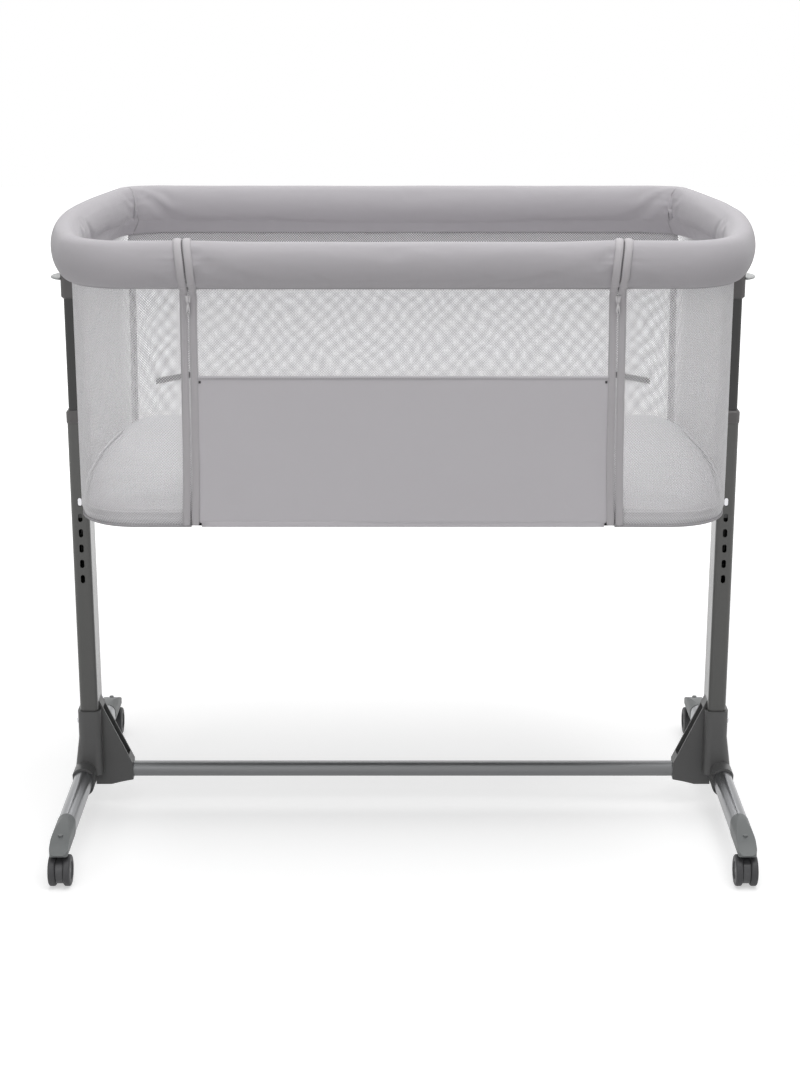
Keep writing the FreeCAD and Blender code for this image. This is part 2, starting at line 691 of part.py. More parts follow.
def top_bracket():
    """Moulded bracket that clamps the inner tube and carries the rim tube."""
    width = UPPER_POST_WIDTH + 2 * BRACKET_WALL
    depth = UPPER_POST_DEPTH + 2 * BRACKET_WALL
    sleeve = rounded_bar(width, depth, POST_CORNER_RADIUS, POST_X, BRACKET_BOTTOM, RIM_Z)
    lower = [edge for edge in sleeve.Edges if edge.BoundBox.ZMax < BRACKET_BOTTOM + 0.01]
    sleeve = sleeve.makeChamfer(BRACKET_CHAMFER, lower)
    sleeve = sleeve.cut(rim_envelope(FACE_GAP))
    neck = neck_box(0)
    body = cleaned(sleeve.fuse(neck))
    post = rounded_bar(UPPER_POST_WIDTH, UPPER_POST_DEPTH, POST_CORNER_RADIUS - POST_WALL, POST_X,
                       BRACKET_BOTTOM, upper_post_top())
    plan = rim_plan
    tube = swept([("arc", Vector(plan.end_x, 0, 0), plan.end_radius, -5, 5)], RIM_Z,
                 round_section(RIM_TUBE_RADIUS, None))
    body = body.cut([post, tube, tab_slot(TONGUE_WIDTH, FACE_GAP)])
    return max(body.Solids, key=lambda solid: solid.Volume)


def release_tab():
    """Half-moon finger tab with a tongue that reaches the pull rod."""
    start = BRACKET_OUTER_X + FACE_GAP
    half = TAB_LENGTH / 2
    reach = TAB_REACH
    radius = (half ** 2 + reach ** 2) / (2 * reach)
    arc = Part.Arc(Vector(start, -half, TAB_Z), Vector(start + reach, 0, TAB_Z), Vector(start, half, TAB_Z))
    chord = Part.makeLine(Vector(start, half, TAB_Z), Vector(start, -half, TAB_Z))
    moon = Part.Face(Part.Wire([arc.toShape(), chord])).extrude(Vector(0, 0, TAB_THICKNESS))
    tongue = box(POST_X - ROD_COLLAR_RADIUS, start + 1, -TONGUE_WIDTH / 2, TONGUE_WIDTH / 2,
                 TAB_Z, TAB_Z + TAB_THICKNESS)
    hole = cylinder(ROD_RADIUS, Vector(POST_X, 0, TAB_Z - 1), Vector(POST_X, 0, TAB_Z + TAB_THICKNESS + 1))
    lip = Part.makeTorus(radius, TAB_THICKNESS / 2)
    lip.translate(Vector(start + reach - radius, 0, TAB_Z + TAB_THICKNESS / 2))
    keep = box(start + 1, start + 2 * reach, -half, half, TAB_Z - TAB_LIP_BELOW, TAB_Z + TAB_LIP_ABOVE)
    return cleaned(moon.fuse([tongue, lip.common(keep)]).cut(hole))


def pull_rod():
    """Rod from the finger tab down to the cam that draws the lock pin."""
    cam_top = SLOT_TOP + PIN_BODY / 2 + TAB_TRAVEL + CAM_STALK
    tab_top = TAB_Z + TAB_THICKNESS
    rod = cylinder(ROD_RADIUS, Vector(POST_X, 0, cam_top - CAM_OVERRUN), Vector(POST_X, 0, tab_top))
    collar = cylinder(ROD_COLLAR_RADIUS, Vector(POST_X, 0, ROD_COLLAR_Z),
                      Vector(POST_X, 0, ROD_COLLAR_Z + ROD_COLLAR_HEIGHT))
    head = cylinder(ROD_HEAD_RADIUS, Vector(POST_X, 0, tab_top), Vector(POST_X, 0, tab_top + ROD_HEAD_HEIGHT))
    return cleaned(rod.fuse([collar, head, cam(0, cam_top)]))


def cam_outline(grow, z0, z1):
    """Slanted bar seen from the side: it draws the pin back as it rises."""
    slope = PIN_TRAVEL / TAB_TRAVEL
    points = []
    for z, side in ((z0, -1), (z0, 1), (z1, 1), (z1, -1)):
        y = -slope * (z - SLOT_TOP) + side * (CAM_LENGTH / 2 + grow)
        points.append(Vector(POST_X, y, z))
    return points


def cam(grow, top):
    """Slanted blade at the foot of the pull rod."""
    low = SLOT_TOP - PIN_BODY / 2 - TAB_TRAVEL - CAM_OVERRUN
    points = cam_outline(grow, low, SLOT_TOP + PIN_BODY / 2 + CAM_OVERRUN)
    half = CAM_THICKNESS / 2 + grow
    blade = Part.Face(Part.makePolygon(points + points[:1])).extrude(Vector(2 * half, 0, 0))
    blade.translate(Vector(-half, 0, 0))
    stalk = box(POST_X - half, POST_X + half, -CAM_LENGTH, CAM_LENGTH / 2,
                SLOT_TOP + PIN_BODY / 2 + CAM_OVERRUN / 2, top)
    return blade.fuse(stalk)


def pin_tip(grow, y0, y1):
    """Round-ended bar that enters the locking slots."""
    half = PIN_TIP_WIDTH / 2 + grow
    straight = PIN_TIP_HEIGHT / 2 - PIN_TIP_WIDTH / 2
    bar = box(POST_X - half, POST_X + half, y0, y1, SLOT_TOP - straight, SLOT_TOP + straight)
    for end in (-1, 1):
        z = SLOT_TOP + end * straight
        bar = bar.fuse(cylinder(half, Vector(POST_X, y0, z), Vector(POST_X, y1, z)))
    return cleaned(bar)


def lock_pin():
    """Spring-loaded lock pin with a slanted window for the cam."""
    tip_y = -LOWER_POST_DEPTH / 2 + POST_WALL + FACE_GAP
    front = -UPPER_POST_DEPTH / 2 + POST_WALL + FACE_GAP
    body = box(POST_X - PIN_BODY / 2, POST_X + PIN_BODY / 2, front, CAM_LENGTH / 2 + PIN_TAIL,
               SLOT_TOP - PIN_BODY / 2, SLOT_TOP + PIN_BODY / 2)
    body = body.fuse(pin_tip(0, tip_y, front + 1))
    points = cam_outline(FACE_GAP, SLOT_TOP - PIN_BODY, SLOT_TOP + PIN_BODY)
    half = CAM_THICKNESS / 2 + FACE_GAP
    window = Part.Face(Part.makePolygon(points + points[:1])).extrude(Vector(2 * half, 0, 0))
    window.translate(Vector(-half, 0, 0))
    return cleaned(body.cut(window))


def lock_spring():
    """Closely wound return spring between the rod collar and the spring plate."""
    low = Vector(POST_X, 0, ROD_COLLAR_Z + ROD_COLLAR_HEIGHT)
    high = Vector(POST_X, 0, SPRING_PLATE_Z)
    inner = ROD_RADIUS + SPRING_CLEARANCE
    return cylinder(inner + SPRING_WIRE, low, high).cut(cylinder(inner, low, high))


# ================================================================ base
def obround(width, height, y0, y1, x, z):
    """Solid bar of upright oval tube section along Y."""
    radius = width / 2
    straight = height / 2 - radius
    bar = box(x - radius, x + radius, y0, y1, z - straight, z + straight)
    for end in (-1, 1):
        centre = Vector(x, y0, z + end * straight)
        bar = bar.fuse(cylinder(radius, centre, centre + Vector(0, y1 - y0, 0)))
    return cleaned(bar)


def cross_bar():
    """Round bar that ties the two ends together near the floor."""
    start = Vector(-CROSS_BAR_END, 0, CROSS_BAR_Z)
    end = Vector(CROSS_BAR_END, 0, CROSS_BAR_Z)
    return cylinder(CROSS_BAR_RADIUS, start, end).cut(cylinder(CROSS_BAR_RADIUS - CROSS_BAR_WALL, start, end))


def foot_tube():
    """Oval steel foot tube, cut off at a slant under each end cap."""
    outer = obround(FOOT_WIDTH, FOOT_HEIGHT, -CAP_NOSE, CAP_NOSE, FOOT_X, FOOT_Z)
    inner = obround(FOOT_WIDTH - 2 * FOOT_WALL, FOOT_HEIGHT - 2 * FOOT_WALL, -CAP_NOSE, CAP_NOSE, FOOT_X, FOOT_Z)
    return outer.common(foot_run(0)).cut(inner)


def foot_run(grow):
    """Long trapezium seen from the side, between the slanted seams of the end caps."""
    lean = (FOOT_HALF_LENGTH - CAP_SEAM) / FOOT_HEIGHT
    high = FOOT_Z + FOOT_HEIGHT
    low = FOOT_Z - FOOT_HEIGHT
    top = CAP_SEAM - lean * FOOT_HEIGHT / 2 + grow
    under = FOOT_HALF_LENGTH + lean * FOOT_HEIGHT / 2 + grow
    points = [Vector(0, -top, high), Vector(0, top, high), Vector(0, under, low), Vector(0, -under, low)]
    return Part.Face(Part.makePolygon(points + points[:1])).extrude(Vector(RIM_LENGTH, 0, 0))


def shoe_web():
    """Triangular web between the post and the cross bar, open along its slanted edge."""
    post_face = POST_X - LOWER_POST_WIDTH / 2
    foot_inner = FOOT_X - FOOT_WIDTH / 2
    apex = Vector(post_face, 0, SHOE_TOP + WEB_RISE)
    toe = Vector(TOE_X, 0, CROSS_BAR_Z + CROSS_BAR_RADIUS + TOE_WALL)
    chin = Vector(TOE_X, 0, CROSS_BAR_Z - CROSS_BAR_RADIUS - TOE_WALL)
    heel = Vector(foot_inner, 0, FOOT_Z - FOOT_HEIGHT / 2 - WEB_SAG)
    belly = Part.Arc(chin, Vector((TOE_X * 2 + foot_inner) / 3, 0, chin.z - WEB_SAG / 3), heel)
    edges = [Part.makeLine(apex, toe), Part.makeLine(toe, chin), belly.toShape(), Part.makeLine(heel, apex)]
    web = Part.Face(Part.Wire(edges)).extrude(Vector(0, 2 * WEB_HALF_DEPTH, 0))
    web.translate(Vector(0, -WEB_HALF_DEPTH, 0))
    half = WEB_HALF_DEPTH - WEB_SKIN
    slant = (toe - apex).normalize()
    inward = Vector(-slant.z, 0, slant.x) * WEB_CHANNEL_DEPTH
    low_end = toe - slant * WEB_CHANNEL_MARGIN
    high_end = apex + slant * WEB_CHANNEL_MARGIN
    loop = [high_end - inward, low_end - inward, low_end + inward, high_end + inward]
    channel = Part.Face(Part.makePolygon(loop + loop[:1])).extrude(Vector(0, 2 * half, 0))
    channel.translate(Vector(0, -half, 0))
    return web.cut(channel)


def shoe_sleeve():
    """Sleeve of the shoe around the post, flaring outwards to the foot tube."""
    width = LOWER_POST_WIDTH + 2 * SHOE_WALL
    depth = LOWER_POST_DEPTH + 2 * SHOE_WALL
    corner = POST_CORNER_RADIUS + SHOE_WALL
    head = rounded_rectangle(width, depth, corner, Vector(POST_X, 0, SHOE_TOP))
    knee = rounded_rectangle(width, depth, corner, Vector(POST_X, 0, SHOE_TOP - SHOE_KNEE))
    flare = rounded_rectangle(width + SHOE_FLARE, depth + SHOE_FLARE_DEPTH, corner,
                              Vector(POST_X + SHOE_FLARE / 2, 0, FOOT_Z))
    return Part.makeLoft([head, knee, flare], True, True)


def shoe_ring():
    """Ring of the shoe around the foot tube, scalloped at both mouths."""
    ring = obround(FOOT_WIDTH + 2 * SHOE_WALL, FOOT_HEIGHT + 2 * SHOE_WALL, -SHOE_SLEEVE_HALF,
                   SHOE_SLEEVE_HALF, FOOT_X, FOOT_Z)
    x0 = FOOT_X - FOOT_WIDTH
    x1 = FOOT_X + FOOT_WIDTH
    for side in (-1, 1):
        y = side * (SHOE_SLEEVE_HALF + SHOE_SCALLOP_RADIUS * 0.4)
        ring = ring.cut(cylinder(SHOE_SCALLOP_RADIUS, Vector(x0, y, FOOT_Z), Vector(x1, y, FOOT_Z)))
    return ring


def base_bracket():
    """Moulded shoe that joins the post, the cross bar and the foot tube."""
    seat = FOOT_Z - FOOT_HEIGHT / 2 - SHOE_WALL
    body = cleaned(shoe_sleeve().fuse([shoe_web(), shoe_ring()]))
    post = rounded_bar(LOWER_POST_WIDTH, LOWER_POST_DEPTH, POST_CORNER_RADIUS, POST_X,
                       LOWER_POST_BOTTOM, SHOE_TOP + WEB_RISE)
    foot = obround(FOOT_WIDTH, FOOT_HEIGHT, -SHOE_SLEEVE_HALF, SHOE_SLEEVE_HALF, FOOT_X, FOOT_Z)
    bar = cylinder(CROSS_BAR_RADIUS, Vector(TOE_X - 1, 0, CROSS_BAR_Z), Vector(CROSS_BAR_END, 0, CROSS_BAR_Z))
    below = box(0, RIM_LENGTH, -RIM_DEPTH, RIM_DEPTH, 0, seat)
    return body.cut([post, foot, bar, below])


def cap_profile():
    """Side view of the end cap: level crown, brow, falling nose and the step over the caster."""
    top = FOOT_Z + FOOT_HEIGHT / 2 + CAP_PROUD
    low = FOOT_Z - FOOT_HEIGHT / 2 - CAP_PROUD
    brow_y = CAP_SEAM + (CAP_NOSE - CAP_SEAM) * CAP_BROW_SHARE
    brow_z = top - CAP_BROW_DROP
    start = Vector(0, -CAP_SEAM + FOOT_HEIGHT, top)
    back = Vector(0, -CAP_SEAM + FOOT_HEIGHT, low)
    crest = Vector(0, -CAP_SEAM, top)
    brow = Vector(0, -brow_y, brow_z)
    nose = Vector(0, -CAP_NOSE, CAP_NOSE_Z)
    toe = Vector(0, -CAP_NOSE + CAP_WALL, CAP_UNDERSIDE)
    step = Vector(0, -CAP_STEP, CAP_UNDERSIDE)
    ramp = Vector(0, -CAP_STEP + CAP_WALL, low)
    crown = Part.Arc(crest, Vector(0, -(CAP_SEAM + brow_y) / 2, top - CAP_BROW_DROP / 4), brow)
    fall = Part.Arc(brow, Vector(0, -brow_y - (CAP_NOSE - brow_y) * 0.62, (brow_z + CAP_NOSE_Z) / 2), nose)
    edges = [Part.makeLine(back, start), Part.makeLine(start, crest), crown.toShape(), fall.toShape(),
             Part.makeLine(nose, toe), Part.makeLine(toe, step), Part.makeLine(step, ramp),
             Part.makeLine(ramp, back)]
    return Part.Face(Part.Wire(edges)).extrude(Vector(RIM_LENGTH, 0, 0))


def foot_cap():
    """Moulded front end cap, flush with the tube, with a plug, the caster socket and a falling nose."""
    width = FOOT_WIDTH + 2 * CAP_PROUD
    height = FOOT_HEIGHT + 2 * CAP_PROUD
    skin = obround(width, height, -CAP_NOSE, -CAP_SEAM + FOOT_HEIGHT, FOOT_X, FOOT_Z)
    cap = skin.common(cap_profile())
    plan = rounded_rectangle(width, 2 * CAP_NOSE, CAP_NOSE_CORNER, Vector(FOOT_X, 0, 0))
    cap = cap.common(Part.Face(plan).extrude(Vector(0, 0, RIM_TOP)))
    cap = cap.cut(foot_run(0))
    play = 2 * FOOT_WALL + 2 * RUNNING_GAP
    plug = obround(FOOT_WIDTH - play, FOOT_HEIGHT - play, -CAP_NOSE, CAP_NOSE, FOOT_X, FOOT_Z)
    plug = plug.common(foot_run(CAP_WALL)).cut(foot_run(-CAP_PLUG))
    front = box(0, RIM_LENGTH, -RIM_DEPTH, 0, 0, RIM_TOP)
    plug = plug.common(front)
    stem = cylinder(STEM_RADIUS + RUNNING_GAP, Vector(FOOT_X, -STEM_Y, 0), Vector(FOOT_X, -STEM_Y, STEM_TOP))
    return cleaned(cap.fuse(plug)).cut(stem)


def caster_place(shape, rear):
    """Turn a front caster piece into the rear one."""
    return to_rear(shape) if rear else shape


def caster_housing():
    """Narrow body between the twin wheels, with its turntable."""
    half = HOUSING_WIDTH / 2
    axle_y = -STEM_Y - CASTER_TRAIL
    top = CAP_UNDERSIDE - TURNTABLE_GAP
    disc = cylinder(HOUSING_RADIUS, Vector(FOOT_X - half, axle_y, WHEEL_RADIUS),
                    Vector(FOOT_X + half, axle_y, WHEEL_RADIUS))
    neck = box(FOOT_X - half, FOOT_X + half, axle_y, -STEM_Y + HEEL_RADIUS, WHEEL_RADIUS, top)
    heel = cylinder(HEEL_RADIUS, Vector(FOOT_X - half, -STEM_Y, WHEEL_RADIUS + HEEL_RISE),
                    Vector(FOOT_X + half, -STEM_Y, WHEEL_RADIUS + HEEL_RISE))
    plate = cylinder(TURNTABLE_RADIUS, Vector(FOOT_X, -STEM_Y, top - TURNTABLE_THICKNESS),
                     Vector(FOOT_X, -STEM_Y, top))
    body = cleaned(disc.fuse([neck, heel, plate]))
    stem = cylinder(STEM_RADIUS, Vector(FOOT_X, -STEM_Y, WHEEL_RADIUS + STEM_ROOT), Vector(FOOT_X, -STEM_Y, top))
    axle = cylinder(AXLE_RADIUS, Vector(FOOT_X - half, axle_y, WHEEL_RADIUS),
                    Vector(FOOT_X + half, axle_y, WHEEL_RADIUS))
    notch = box(FOOT_X - half, FOOT_X + half, axle_y - 2 * AXLE_RADIUS, axle_y + 2 * AXLE_RADIUS,
                0, WHEEL_RADIUS - HOUSING_RADIUS + AXLE_RADIUS)
    return body.cut([stem, axle, notch])


def caster_pins():
    """Steel swivel stem and wheel axle."""
    axle_y = -STEM_Y - CASTER_TRAIL
    reach = HOUSING_WIDTH / 2 + WHEEL_GAP + WHEEL_WIDTH - HUB_RECESS
    stem = cylinder(STEM_RADIUS, Vector(FOOT_X, -STEM_Y, WHEEL_RADIUS + STEM_ROOT),
                    Vector(FOOT_X, -STEM_Y, STEM_TOP - TURNTABLE_GAP))
    axle = cylinder(AXLE_RADIUS, Vector(FOOT_X - reach, axle_y, WHEEL_RADIUS),
                    Vector(FOOT_X + reach, axle_y, WHEEL_RADIUS))
    return Part.makeCompound([stem, axle])


def caster_wheel(side):
    """One of the twin wheels: rounded tread, dished hub and axle bore."""
    x0 = HOUSING_WIDTH / 2 + WHEEL_GAP
    x1 = x0 + WHEEL_WIDTH
    radius = WHEEL_RADIUS
    edge = WHEEL_EDGE
    corner = edge * (1 - math.sqrt(0.5))
    bore = AXLE_RADIUS + RUNNING_GAP
    edges = [Part.makeLine(Vector(x0, 0, bore), Vector(x0, 0, radius - edge)),
             Part.Arc(Vector(x0, 0, radius - edge), Vector(x0 + corner, 0, radius - corner),
                      Vector(x0 + edge, 0, radius)).toShape(),
             Part.makeLine(Vector(x0 + edge, 0, radius), Vector(x1 - edge, 0, radius)),
             Part.Arc(Vector(x1 - edge, 0, radius), Vector(x1 - corner, 0, radius - corner),
                      Vector(x1, 0, radius - edge)).toShape(),
             Part.makeLine(Vector(x1, 0, radius - edge), Vector(x1, 0, HUB_RADIUS)),
             Part.makeLine(Vector(x1, 0, HUB_RADIUS), Vector(x1 - HUB_RECESS, 0, HUB_RADIUS - 1)),
             Part.makeLine(Vector(x1 - HUB_RECESS, 0, HUB_RADIUS - 1), Vector(x1 - HUB_RECESS, 0, bore)),
             Part.makeLine(Vector(x1 - HUB_RECESS, 0, bore), Vector(x0, 0, bore))]
    wheel = Part.Face(Part.Wire(edges)).revolve(Vector(0, 0, 0), Vector(1, 0, 0), 360)
    if side < 0:
        wheel = mirrored(wheel)
    wheel.translate(Vector(FOOT_X, -STEM_Y - CASTER_TRAIL, WHEEL_RADIUS))
    return wheel


def frame_screws():
    """Button-head screws that hold the posts in the shoes."""
    x = POST_X + LOWER_POST_WIDTH / 2 + SHOE_WALL
    heads = []
    for y in (-SCREW_SPACING / 2, SCREW_SPACING / 2):
        head = cylinder(SCREW_HEAD_RADIUS, Vector(x, y, SCREW_Z), Vector(x + SCREW_HEAD_HEIGHT, y, SCREW_Z))
        crown = [edge for edge in head.Edges if edge.BoundBox.XMin > x + SCREW_HEAD_HEIGHT - 0.01]
        head = head.makeChamfer(SCREW_HEAD_HEIGHT / 2, crown)
        heads.append(head)
        heads.append(mirrored(head))
    return Part.makeCompound(heads)


# ================================================================ write every piece
def write_pairs(builder, name):
    """Write a piece for the right end and its mirror for the left end."""
    piece = builder()
    export(piece, name + "_right")
    export(mirrored(piece), name + "_left")


def write_walls():
    """Cut the fabric shell into the panels it is sewn from."""
    shell = basket_shell()
    half = ZIP_X - ZIP_GAP / 2
    bottom = BASKET_BOTTOM + 2 * FACE_GAP
    export(shell.common(front_window_box(half, PANEL_TOP, RIM_TOP)), "window_mesh")
    export(shell.common(front_window_box(half, bottom, PANEL_TOP)), "front_panel")
    wedge = seam_wedge()
    export(shell.common(wedge), "rear_wall")
    ends = shell.cut([wedge, front_window_box(ZIP_X + ZIP_GAP / 2, 0, RIM_TOP)])
    right = ends.common(box(0, RIM_LENGTH, -RIM_DEPTH, RIM_DEPTH, 0, RIM_TOP))
    export(right, "end_wall_right")
    export(mirrored(right), "end_wall_left")


def write_casters():
    """Write the four swivel casters."""
    for end in ("right", "left"):
        for row in ("front", "rear"):
            rear = row == "rear"
            pieces = {"caster_housing": caster_housing(), "caster_pins": caster_pins(),
                      "caster_wheel_outer": caster_wheel(1), "caster_wheel_inner": caster_wheel(-1)}
            for name, piece in pieces.items():
                placed = caster_place(piece, rear)
                if end == "left":
                    placed = mirrored(placed)
                export(placed, name + "_" + row + "_" + end)


def main():
    """Build and write the whole crib."""
    export(rim_frame(), "rim_frame")
    write_pairs(rim_pad_end, "rim_pad")
    export(rim_pad_rear(), "rim_pad_rear")
    export(front_rail(), "front_rail")
    export(front_rim_pad(), "front_rim_pad")
    write_walls()
    export(seam_tapes(), "seam_tapes")
    export(zip_tapes(), "zip_tapes")
    export(rear_straps(), "rear_straps")
    write_pairs(zip_slider, "zip_slider")
    export(bottom_frame(), "bottom_frame")
    export(floor_cover(), "floor_cover")
    export(base_board(), "base_board")
    export(mattress(), "mattress")
    write_pairs(lower_post, "lower_post")
    write_pairs(post_collar, "post_collar")
    write_pairs(upper_post, "upper_post")
    write_pairs(top_bracket, "top_bracket")
    write_pairs(release_tab, "release_tab")
    write_pairs(pull_rod, "pull_rod")
    write_pairs(lock_pin, "lock_pin")
    write_pairs(lock_spring, "lock_spring")
    export(cross_bar(), "cross_bar")
    write_pairs(base_bracket, "base_bracket")
    write_pairs(foot_tube, "foot_tube")
    cap = foot_cap()
    caps = Part.makeCompound([cap, to_rear(cap)])
    export(caps, "foot_caps_right")
    export(mirrored(caps), "foot_caps_left")
    write_casters()
    export(frame_screws(), "frame_screws")


main()
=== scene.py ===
"""Bedside sleeper crib: the soft goods, zips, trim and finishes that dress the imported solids.

Everything is in metres, with the origin on the floor under the middle of the crib.
X runs along the crib and the side that drops towards the adult bed faces -Y.
"""

import json
import logging
import math
from dataclasses import dataclass, field
from enum import Enum
from typing import Callable, Optional, Sequence, Union

import bmesh
import bpy
from mathutils import Matrix, Vector, noise

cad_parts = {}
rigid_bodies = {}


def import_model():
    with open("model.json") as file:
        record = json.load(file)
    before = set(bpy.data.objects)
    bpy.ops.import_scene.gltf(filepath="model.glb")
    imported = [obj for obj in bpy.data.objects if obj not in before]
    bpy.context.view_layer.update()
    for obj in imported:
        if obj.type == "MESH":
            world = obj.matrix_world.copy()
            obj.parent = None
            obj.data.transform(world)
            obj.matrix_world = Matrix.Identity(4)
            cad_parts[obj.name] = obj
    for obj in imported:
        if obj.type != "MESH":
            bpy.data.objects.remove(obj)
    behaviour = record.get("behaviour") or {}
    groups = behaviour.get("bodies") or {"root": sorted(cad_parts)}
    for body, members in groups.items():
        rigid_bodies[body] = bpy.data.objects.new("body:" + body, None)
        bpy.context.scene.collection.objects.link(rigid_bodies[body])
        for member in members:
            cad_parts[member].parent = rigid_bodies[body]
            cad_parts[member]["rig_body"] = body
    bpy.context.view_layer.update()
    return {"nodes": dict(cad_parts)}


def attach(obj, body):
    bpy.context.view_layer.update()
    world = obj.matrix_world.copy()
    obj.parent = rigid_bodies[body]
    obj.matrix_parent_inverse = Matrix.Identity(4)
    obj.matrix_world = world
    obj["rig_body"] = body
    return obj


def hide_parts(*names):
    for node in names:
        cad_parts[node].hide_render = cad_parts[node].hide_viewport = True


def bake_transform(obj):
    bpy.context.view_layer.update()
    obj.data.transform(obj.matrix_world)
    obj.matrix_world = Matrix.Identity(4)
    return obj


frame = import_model()

LOG = logging.getLogger("crib")
UP = Vector((0.0, 0.0, 1.0))
CRIBWAYS = Vector((1.0, 0.0, 0.0))
WHITE = (1.0, 1.0, 1.0, 1.0)
RIPPLE_RUN = 0.014
STITCH_PITCH = 0.0034


class End(Enum):
    """The two ends of the crib, seen from the side that drops."""

    LEFT = -1
    RIGHT = 1

    @property
    def word(self) -> str:
        """The end's name as the nodes write it."""
        return self.name.lower()

    @property
    def mirrored(self) -> bool:
        """Whether its pieces are mirrored ones, as all are drawn for the right-hand end."""
        return self is End.LEFT


class Body(Enum):
    """The moving groups that the soft pieces ride on."""

    CRADLE = "cradle"
    DROP_SIDE = "drop_side"


class Half(Enum):
    """The two halves of a zip: on the fixed wall and on the side that drops."""

    FIXED = 1
    DROP = -1

    @property
    def word(self) -> str:
        """The half's name in its pieces."""
        return self.name.lower()

    @property
    def body(self) -> Body:
        """What the half rides on."""
        return Body.CRADLE if self is Half.FIXED else Body.DROP_SIDE


# ------------------------------------------------------------------ shader arithmetic
Feed = Union["Value", float, int, Sequence[float]]


class Value:
    """A shader socket with arithmetic: an expression on values adds its Math nodes."""

    def __init__(self, canvas: "Canvas", socket: bpy.types.NodeSocket) -> None:
        """Wraps an output socket.

        Args:
            canvas: The node tree being drawn.
            socket: The output that carries the value.
        """
        self.canvas = canvas
        self.socket = socket

    def sibling(self, output: Union[int, str]) -> "Value":
        """Another output of the same node."""
        return Value(self.canvas, self.socket.node.outputs[output])

    def math(self, operation: str, *others: Feed) -> "Value":
        """This value and others through one Math node."""
        inputs = {index + 1: other for index, other in enumerate(others)}
        return self.canvas.node("ShaderNodeMath", {"operation": operation}, {0: self, **inputs})

    def before(self, operation: str, other: Feed) -> "Value":
        """A number first and this value second through one Math node."""
        return self.canvas.node("ShaderNodeMath", {"operation": operation}, {0: other, 1: self})

    def __add__(self, other: Feed) -> "Value":
        """Sum."""
        return self.math("ADD", other)

    def __radd__(self, other: Feed) -> "Value":
        """Sum with the number first."""
        return self.before("ADD", other)

    def __sub__(self, other: Feed) -> "Value":
        """Difference."""
        return self.math("SUBTRACT", other)

    def __rsub__(self, other: Feed) -> "Value":
        """Difference with the number first."""
        return self.before("SUBTRACT", other)

    def __mul__(self, other: Feed) -> "Value":
        """Product."""
        return self.math("MULTIPLY", other)

    def __rmul__(self, other: Feed) -> "Value":
        """Product with the number first."""
        return self.before("MULTIPLY", other)

    def __truediv__(self, other: Feed) -> "Value":
        """Quotient."""
        return self.math("DIVIDE", other)

    def __abs__(self) -> "Value":
        """Size without sign."""
        return self.math("ABSOLUTE")

    def sine(self) -> "Value":
        """Sine of an angle in radians."""
        return self.math("SINE")

    def cosine(self) -> "Value":
        """Cosine of an angle in radians."""
        return self.math("COSINE")

    def clamped(self) -> "Value":
        """Held between 0 and 1."""
        return self.canvas.node("ShaderNodeClamp", {}, {0: self})


class Canvas:
    """A node tree being drawn, of a material or of the world."""

    def __init__(self, owner: Union[bpy.types.Material, bpy.types.World], output: str) -> None:
        """Starts an empty tree.

        Args:
            owner: What the tree belongs to.
            output: The type of its output node.
        """
        owner.use_nodes = True
        self.tree = owner.node_tree
        self.output = output
        self.tree.nodes.clear()

    def node(self, kind: str, settings: Optional[dict] = None, inputs: Optional[dict] = None,
             output: Union[int, str, None] = 0) -> Optional[Value]:
        """Adds a node.

        Args:
            kind: The node's type.
            settings: Its properties, set first; "stops" are a ramp's (position, grey) pairs.
            inputs: Values or links of its sockets, by name or number.
            output: The output to return, or None for a node that has none.

        Returns:
            The chosen output.
        """
        made = self.tree.nodes.new(kind)
        for key, value in (settings or {}).items():
            if key == "stops":
                self.set_stops(made.color_ramp, value)
            else:
                setattr(made, key, value)
        for key, value in (inputs or {}).items():
            if isinstance(value, Value):
                self.tree.links.new(value.socket, made.inputs[key])
            else:
                made.inputs[key].default_value = value
        return None if output is None else Value(self, made.outputs[output])

    @staticmethod
    def set_stops(ramp: bpy.types.ColorRamp, stops: Sequence[tuple[float, float]]) -> None:
        """Writes a ramp's grey stops.

        Args:
            ramp: The ramp.
            stops: Positions and greys.
        """
        while len(ramp.elements) < len(stops):
            ramp.elements.new(0.5)
        for element, (position, grey) in zip(ramp.elements, stops):
            element.position = position
            element.color = (grey, grey, grey, 1.0)

    def seen_directly(self) -> Value:
        """1 for rays that the camera, a gloss or a clear piece sends out, 0 for all others."""
        camera = self.node("ShaderNodeLightPath", output="Is Camera Ray")
        either = camera.math("MAXIMUM", camera.sibling("Is Glossy Ray"))
        return either.math("MAXIMUM", camera.sibling("Is Transmission Ray"))

    def close(self, shader: Value) -> None:
        """Links a shader to the tree's output."""
        self.node(self.output, {}, {"Surface": shader}, None)


